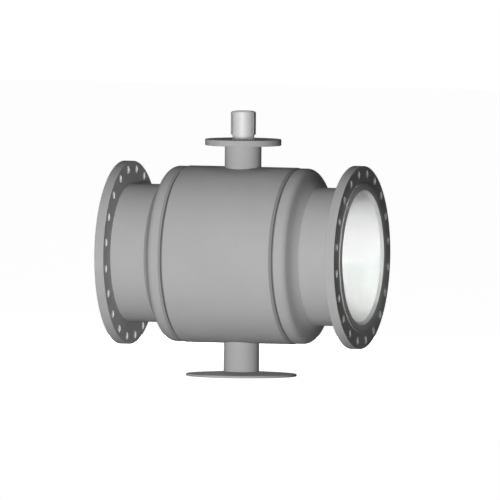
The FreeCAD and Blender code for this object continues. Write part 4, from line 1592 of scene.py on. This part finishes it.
@dataclass
class Bonnet:
    """What stands on the shell around the stem: housing, actuator flange, bushes, packing and gland.

    Fields:
        flange_r: Outside of the actuator flange.
        flange_low: Underside of the actuator flange.
        flange_edge: Chamfer of its rim.
        recess_r: Recess in the actuator flange.
        recess_edge: Chamfer of the recess.
        bolt_circle: Radius of its bolt circle.
        first_bolt: Angle of the first bolt hole, in degrees.
        bolt_count: Number of bolt holes.
        hole_r: Radius of its bolt holes.
        hole_edge: Chamfer of the bolt holes.
        housing_low: Lower end of the housing.
        housing_edge: Chamfers of its upper end.
        washer_pocket: Bore of the housing round the thrust washer.
        washer_low: Underside of the thrust washer.
        lower_bush_top: Top of the lower bush.
        upper_bush_low: Underside of the upper bush.
        packing_count: Number of packing rings.
        packing_height: Height of a packing ring.
        packing_gap: Room between two packing rings.
        packed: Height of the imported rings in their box.
        gland_top: Top of the gland.
        gland_room: Room of the gland in its pocket and in the packing box.
        gland_edge: Chamfer of the gland's bore.
        screw_count: Number of gland screws.
        screw_seat: Height where the screw heads rest.
        head_hole: Radius of the holes round the screw heads.
        shank_hole: Radius of the holes round the shanks.
        thread_hole: Radius of the threaded holes in the housing.
        hexagon: Half the width of a screw's hexagon across its flats.
        hexagon_floor: Floor of the hexagon over the seat.
        screw: Radius and height over the seat of a screw, from the top of its head down.
    """

    flange_r: float = 175.0
    flange_low: float = 503.0
    flange_edge: float = 1.5
    recess_r: float = 115.0
    recess_edge: float = 0.5
    bolt_circle: float = 149.0
    first_bolt: float = 22.5
    bolt_count: int = 8
    hole_r: float = 11.0
    hole_edge: float = 0.8
    housing_low: float = 370.0
    housing_edge: float = 0.5
    washer_pocket: float = 67.0
    washer_low: float = 378.2
    lower_bush_top: float = 424.2
    upper_bush_low: float = 468.0
    packing_count: int = 3
    packing_height: float = 6.0
    packing_gap: float = 0.2
    packed: float = 18.6
    gland_top: float = 524.0
    gland_room: float = 0.5
    gland_edge: float = 0.6
    screw_count: int = 6
    screw_seat: float = 515.5
    head_hole: float = 7.0
    shank_hole: float = 4.5
    thread_hole: float = 4.0
    hexagon: float = 3.0
    hexagon_floor: float = 4.0
    screw: tuple[tuple[float, float], ...] = (
        (5.9, 8.0), (6.5, 7.4), (6.5, 0.0), (4.0, 0.0), (4.0, -22.9), (3.4, -23.5), (0.0, -23.5)
    )

    def flange(self) -> None:
        """Builds the actuator flange."""
        top, low, edge, hole_edge = S.head_top, self.flange_low, self.flange_edge, self.hole_edge
        recess, flat_r = self.recess_r + self.recess_edge, self.flange_r - edge
        flange = Surface()
        bore = corners(
            (top, self.hole_r + hole_edge), (top - hole_edge, self.hole_r),
            (low + hole_edge, self.hole_r), (low, self.hole_r + hole_edge),
        )
        holes = HoleRing(self.bolt_circle, self.first_bolt, bore, self.bolt_count)
        holes.cut(flange, Axis.STEM, recess, flat_r, through=True)
        rim = corners((top, flat_r), (top - edge, self.flange_r), (low + edge, self.flange_r), (low, flat_r))
        inside = corners(
            (low, recess), (low, S.housing_r), (S.recess_floor, S.housing_r), (S.recess_floor, self.recess_r),
            (top - self.recess_edge, self.recess_r), (top, recess),
        )
        flange.strips(Axis.STEM, rim, inside)
        show(flange, "painted_top_flange", Finishes.PAINT, Body.VALVE, "top_flange")

    def housing(self) -> None:
        """Builds the housing, with blind holes for the gland screws."""
        top, edge = S.recess_floor, self.housing_edge
        housing = Surface()
        bore = corners((S.gland_seat, self.thread_hole), (S.box_floor, self.thread_hole), (S.box_floor, 0.0))
        holes = HoleRing(S.screw_circle, 0.0, bore, self.screw_count)
        holes.cut(housing, Axis.STEM, S.box_r, S.gland_r, through=False)
        inside = corners(
            (S.gland_seat, S.box_r), (S.box_floor, S.box_r), (S.box_floor, S.bush_r),
            (self.upper_bush_low, S.bush_r), (self.upper_bush_low, S.land_r),
            (self.lower_bush_top, S.land_r), (self.lower_bush_top, S.bush_r),
            (S.washer_top, S.bush_r), (S.washer_top, self.washer_pocket),
            (self.housing_low, self.washer_pocket), (self.housing_low, S.housing_r),
            (top - edge, S.housing_r), (top, S.housing_r - edge), (top, S.gland_r + edge),
            (top - edge, S.gland_r), (S.gland_seat, S.gland_r),
        )
        housing.strips(Axis.STEM, inside)
        show(housing, "painted_stem_housing", Finishes.PAINT, Body.VALVE, "stem_housing")

    def gland(self) -> None:
        """Builds the gland with its sunk screw holes."""
        inner, outer, top = S.box_r - self.gland_room, S.gland_r - self.gland_room, self.gland_top
        gland = Surface()
        bore = corners(
            (top, self.head_hole), (self.screw_seat, self.head_hole),
            (self.screw_seat, self.shank_hole), (S.gland_seat, self.shank_hole),
        )
        holes = HoleRing(S.screw_circle, 0.0, bore, self.screw_count)
        holes.cut(gland, Axis.STEM, inner, outer, through=True)
        nose = S.box_floor + self.packed
        inside = corners(
            (S.gland_seat, inner), (nose, inner), (nose, S.land_r), (top - self.gland_edge, S.land_r),
            (top, S.land_r + self.gland_edge), (top, inner),
        )
        rim = corners((top, outer), (S.gland_seat, outer))
        gland.strips(Axis.STEM, inside, rim)
        show(gland, "turned_gland", Finishes.TURNED, Body.VALVE, "gland")

    def screws(self) -> None:
        """Builds the gland screws.

        At bearing b the hexagon's radius is h / cos((b mod 60) - 30), in degrees.
        """
        bearing = np.radians(np.arange(0, 360, 10))
        flats = self.hexagon / np.cos(np.mod(bearing, math.pi / 3) - math.pi / 6)
        rows = [(0 * flats, self.hexagon_floor), (flats, self.hexagon_floor), (flats, self.screw[0][1])]
        rows += [(0 * flats + radius, height) for radius, height in self.screw]
        screws = Surface()
        for turn in np.radians(np.arange(self.screw_count) * 360 / self.screw_count):
            centre = np.array([math.cos(turn), math.sin(turn), 0]) * S.screw_circle
            grid = np.stack([
                around(Axis.STEM, np.array(self.screw_seat + height), radius, bearing + turn)
                for radius, height in rows
            ])
            screws.add(grid + centre)
        show(screws, "socket_gland_screws", Finishes.SCREW, Body.VALVE, "gland_screws")

    def rings(self) -> None:
        """Builds the packing, the bushes and the thrust washer."""
        packing = Surface()
        for number in range(self.packing_count):
            low = S.box_floor + number * (self.packing_height + self.packing_gap)
            packing.turned(Axis.STEM, ring(low, low + self.packing_height, S.land_r, S.box_r))
        show(packing, "pressed_packing_rings", Finishes.GRAPHITE, Body.VALVE, "packing_rings")
        bush_in = S.stem_r + S.play
        for node, section in (
            ("lower_bush", ring(S.washer_top, self.lower_bush_top, bush_in, S.bush_r)),
            ("upper_bush", ring(self.upper_bush_low, S.box_floor, bush_in, S.bush_r)),
            ("upper_thrust_washer", ring(self.washer_low, S.washer_top, S.stem_r + S.washer_gap, S.washer_r)),
        ):
            show(Surface().turned(Axis.STEM, section), f"turned_{node}", Finishes.BRONZE, Body.VALVE, node)

    def build(self) -> None:
        """Builds every piece of the bonnet."""
        self.flange()
        self.housing()
        self.gland()
        self.screws()
        self.rings()


@dataclass
class Trunnion:
    """The pin that carries the ball from below, with its bush and thrust washer.

    Fields:
        tip: Upper end of the pin and of its bush.
        shoulder: Height of the shoulder that carries the washer.
        low: Underside of the pin's body.
        washer_r: Outside of the washer.
        washer_height: Height of the washer.
    """

    tip: float = -300.0
    shoulder: float = -362.2
    low: float = -420.0
    washer_r: float = 68.9
    washer_height: float = 6.0

    def build(self) -> None:
        """Builds the three pieces."""
        pin = softened(corners(
            (self.low, 0.0), (self.low, S.trunnion_r, 1.0), (self.shoulder, S.trunnion_r, 0.5),
            (self.shoulder, S.stem_r), (self.tip, S.stem_r, 1.0), (self.tip, 0.0),
        ))
        bush = ring(-S.ball_flat, self.tip, S.stem_r + S.play, S.bush_r)
        washer_in, washer_top = S.stem_r + S.washer_gap, self.shoulder + self.washer_height
        washer = ring(self.shoulder, washer_top, washer_in, self.washer_r)
        for node, section, open_ends, finish, body in (
            ("trunnion_pin", pin, True, Finishes.TURNED, Body.VALVE),
            ("trunnion_bush", bush, False, Finishes.BRONZE, Body.BALL),
            ("lower_thrust_washer", washer, False, Finishes.BRONZE, Body.VALVE),
        ):
            surface = Surface().turned(Axis.STEM, section, open_ends=open_ends)
            show(surface, f"turned_{node}", finish, body, node)


def direction(azimuth: float, elevation: float) -> Vector:
    """Unit vector from the object towards an azimuth and elevation, in degrees."""
    a, e = math.radians(azimuth), math.radians(elevation)
    return Vector((math.sin(a) * math.cos(e), -math.cos(a) * math.cos(e), math.sin(e)))


@dataclass(frozen=True)
class Lamp:
    """An oval lamp that lights a white surface facing it to a level.

    Fields:
        name: Name of the lamp.
        azimuth: Its azimuth seen from what it lights, in degrees.
        elevation: Its elevation.
        size: Its width and height in metres.
        level: Light that it brings to its aim, for a lamp of full spread.
        away: Its distance from its aim in metres.
        spread: Spread of its beam in degrees.
        aim: What it lights, in metres from the crossing of the two axes.
    """

    name: str
    azimuth: float
    elevation: float
    size: tuple[float, float]
    level: float
    away: float = 4.0
    spread: float = 180.0
    aim: tuple[float, float, float] = (0.0, 0.0, 0.0)

    def build(self) -> None:
        """Builds the lamp, whose power is level (pi away)^2."""
        light = bpy.data.lights.new(self.name, "AREA")
        light.shape = "ELLIPSE"
        light.size, light.size_y = self.size
        light.energy = self.level * (math.pi * self.away) ** 2
        light.spread = math.radians(self.spread)
        back = direction(self.azimuth, self.elevation)
        lamp = bpy.data.objects.new(self.name, light)
        lamp.location = Vector(self.aim) + Vector((0, 0, S.pipe_height * MM)) + back * self.away
        lamp.rotation_euler = back.to_track_quat("Z", "Y").to_euler()
        bpy.context.scene.collection.objects.link(lamp)


@dataclass
class Studio:
    """The floor, the light and the camera. None of it is part of the object.

    Fields:
        azimuth: Azimuth of the camera, in degrees.
        elevation: Its elevation.
        roll: Its roll.
        scale: Width of the picture in metres.
        shift: How far the picture's middle lies right of and above the crossing of the axes.
        away: Distance of the camera in metres.
        clip_end: How far the camera sees.
        glow: Light of the world on the object.
        floor_half: Half the width of the floor.
        floor_low: Height of the floor, a little below the foot.
        floor_grey: Tone of the floor.
        floor_glow: Light that it sends to the camera.
        lamps: The lamps.
    """

    azimuth: float = 18.0
    elevation: float = 2.6
    roll: float = 0.47
    scale: float = 2.2915
    shift: tuple[float, float] = (0.0353, 0.0223)
    away: float = 6.0
    clip_end: float = 60.0
    glow: float = 0.02
    floor_half: float = 28.0
    floor_low: float = -0.0004
    floor_grey: float = 0.65
    floor_glow: float = 0.97
    lamps: tuple[Lamp, ...] = (
        Lamp("key_light", 5.0, 0.0, (3.0, 1.05), 0.875, 8.0),
        Lamp("top_light", 0.0, 80.0, (2.0, 2.0), 0.08),
        Lamp("back_light", 200.0, 6.0, (2.6, 2.6), 0.6),
        Lamp("bore_light", 24.0, 5.0, (0.24, 0.60), 0.0087, 2.0, 4.0, (S.half_length * MM, -0.02, 0.0)),
    )

    def split(self, nodes: Nodes, plain: bpy.types.Node, shown: bpy.types.Node, output: str) -> None:
        """Gives rays from the camera, off a gloss or through glass a shader of their own.

        Args:
            nodes: Nodes of the world or of the material.
            plain: Shader for all the other rays.
            shown: Shader for these rays.
            output: Type of the output node.
        """
        rays = nodes.add("LightPath").outputs
        either = nodes.math("ADD", rays["Is Camera Ray"], rays["Is Glossy Ray"])
        either = nodes.math("ADD", either, rays["Is Transmission Ray"])
        mix = nodes.add("MixShader", Fac=nodes.math("MINIMUM", either, 1.0))
        nodes.feed(mix, 1, plain.outputs[0])
        nodes.feed(mix, 2, shown.outputs[0])
        nodes.end(mix, output)

    def world(self) -> None:
        """A world that shows white and lights the object weakly from all sides."""
        world = bpy.data.worlds.new("studio")
        bpy.context.scene.world = world
        nodes = Nodes(world)
        glow = nodes.add("Background", Color=(1, 1, 1, 1), Strength=self.glow)
        white = nodes.add("Background", Color=(1, 1, 1, 1), Strength=1.0)
        self.split(nodes, glow, white, "OutputWorld")

    def floor(self) -> None:
        """A pale floor that shows white in the open and keeps the object's shadow."""
        half, low = self.floor_half, self.floor_low
        mesh = bpy.data.meshes.new("floor")
        spots = [(-half, -half, low), (half, -half, low), (half, half, low), (-half, half, low)]
        mesh.from_pydata(spots, [], [(0, 1, 2, 3)])
        floor = bpy.data.objects.new("floor", mesh)
        bpy.context.scene.collection.objects.link(floor)
        nodes = Nodes(bpy.data.materials.new("pale_floor"))
        matt = nodes.add("BsdfDiffuse", Color=(*[self.floor_grey] * 3, 1))
        glow = nodes.add("Emission", Color=(1, 1, 1, 1), Strength=self.floor_glow)
        lit = nodes.add("AddShader")
        nodes.feed(lit, 0, matt.outputs[0])
        nodes.feed(lit, 1, glow.outputs[0])
        self.split(nodes, matt, lit, "OutputMaterial")
        mesh.materials.append(nodes.owner)

    def camera(self) -> None:
        """A camera without perspective at the photograph's angle."""
        data = bpy.data.cameras.new("camera")
        data.type = "ORTHO"
        data.ortho_scale = self.scale
        data.clip_end = self.clip_end
        back = direction(self.azimuth, self.elevation)
        right = Vector((math.cos(math.radians(self.azimuth)), math.sin(math.radians(self.azimuth)), 0))
        turn = Matrix.Rotation(math.radians(self.roll), 3, back)
        right, up = turn @ right, turn @ back.cross(right)
        camera = bpy.data.objects.new("camera", data)
        centre = Vector((0, 0, S.pipe_height * MM)) + right * self.shift[0] + up * self.shift[1]
        basis = Matrix((right, up, back)).transposed().to_4x4()
        camera.matrix_world = Matrix.Translation(centre + back * self.away) @ basis
        bpy.context.scene.collection.objects.link(camera)
        bpy.context.scene.camera = camera

    def build(self) -> None:
        """Builds the studio."""
        bpy.context.scene.view_settings.view_transform = "Standard"
        self.world()
        self.floor()
        for lamp in self.lamps:
            lamp.build()
        self.camera()


def main() -> None:
    """Builds the valve and the studio around it."""
    logging.basicConfig(level=logging.INFO, format="%(message)s")
    Studio().build()
    BodyShell().build()
    for side in Side:
        EndClosure(side).build()
        Neck(side).build()
        PipeFlange(side).build()
        Seat(side).build()
    Ball().build()
    Stem().build()
    Bonnet().build()
    Trunnion().build()
    Foot().build()


if __name__ == "__main__":
    main()
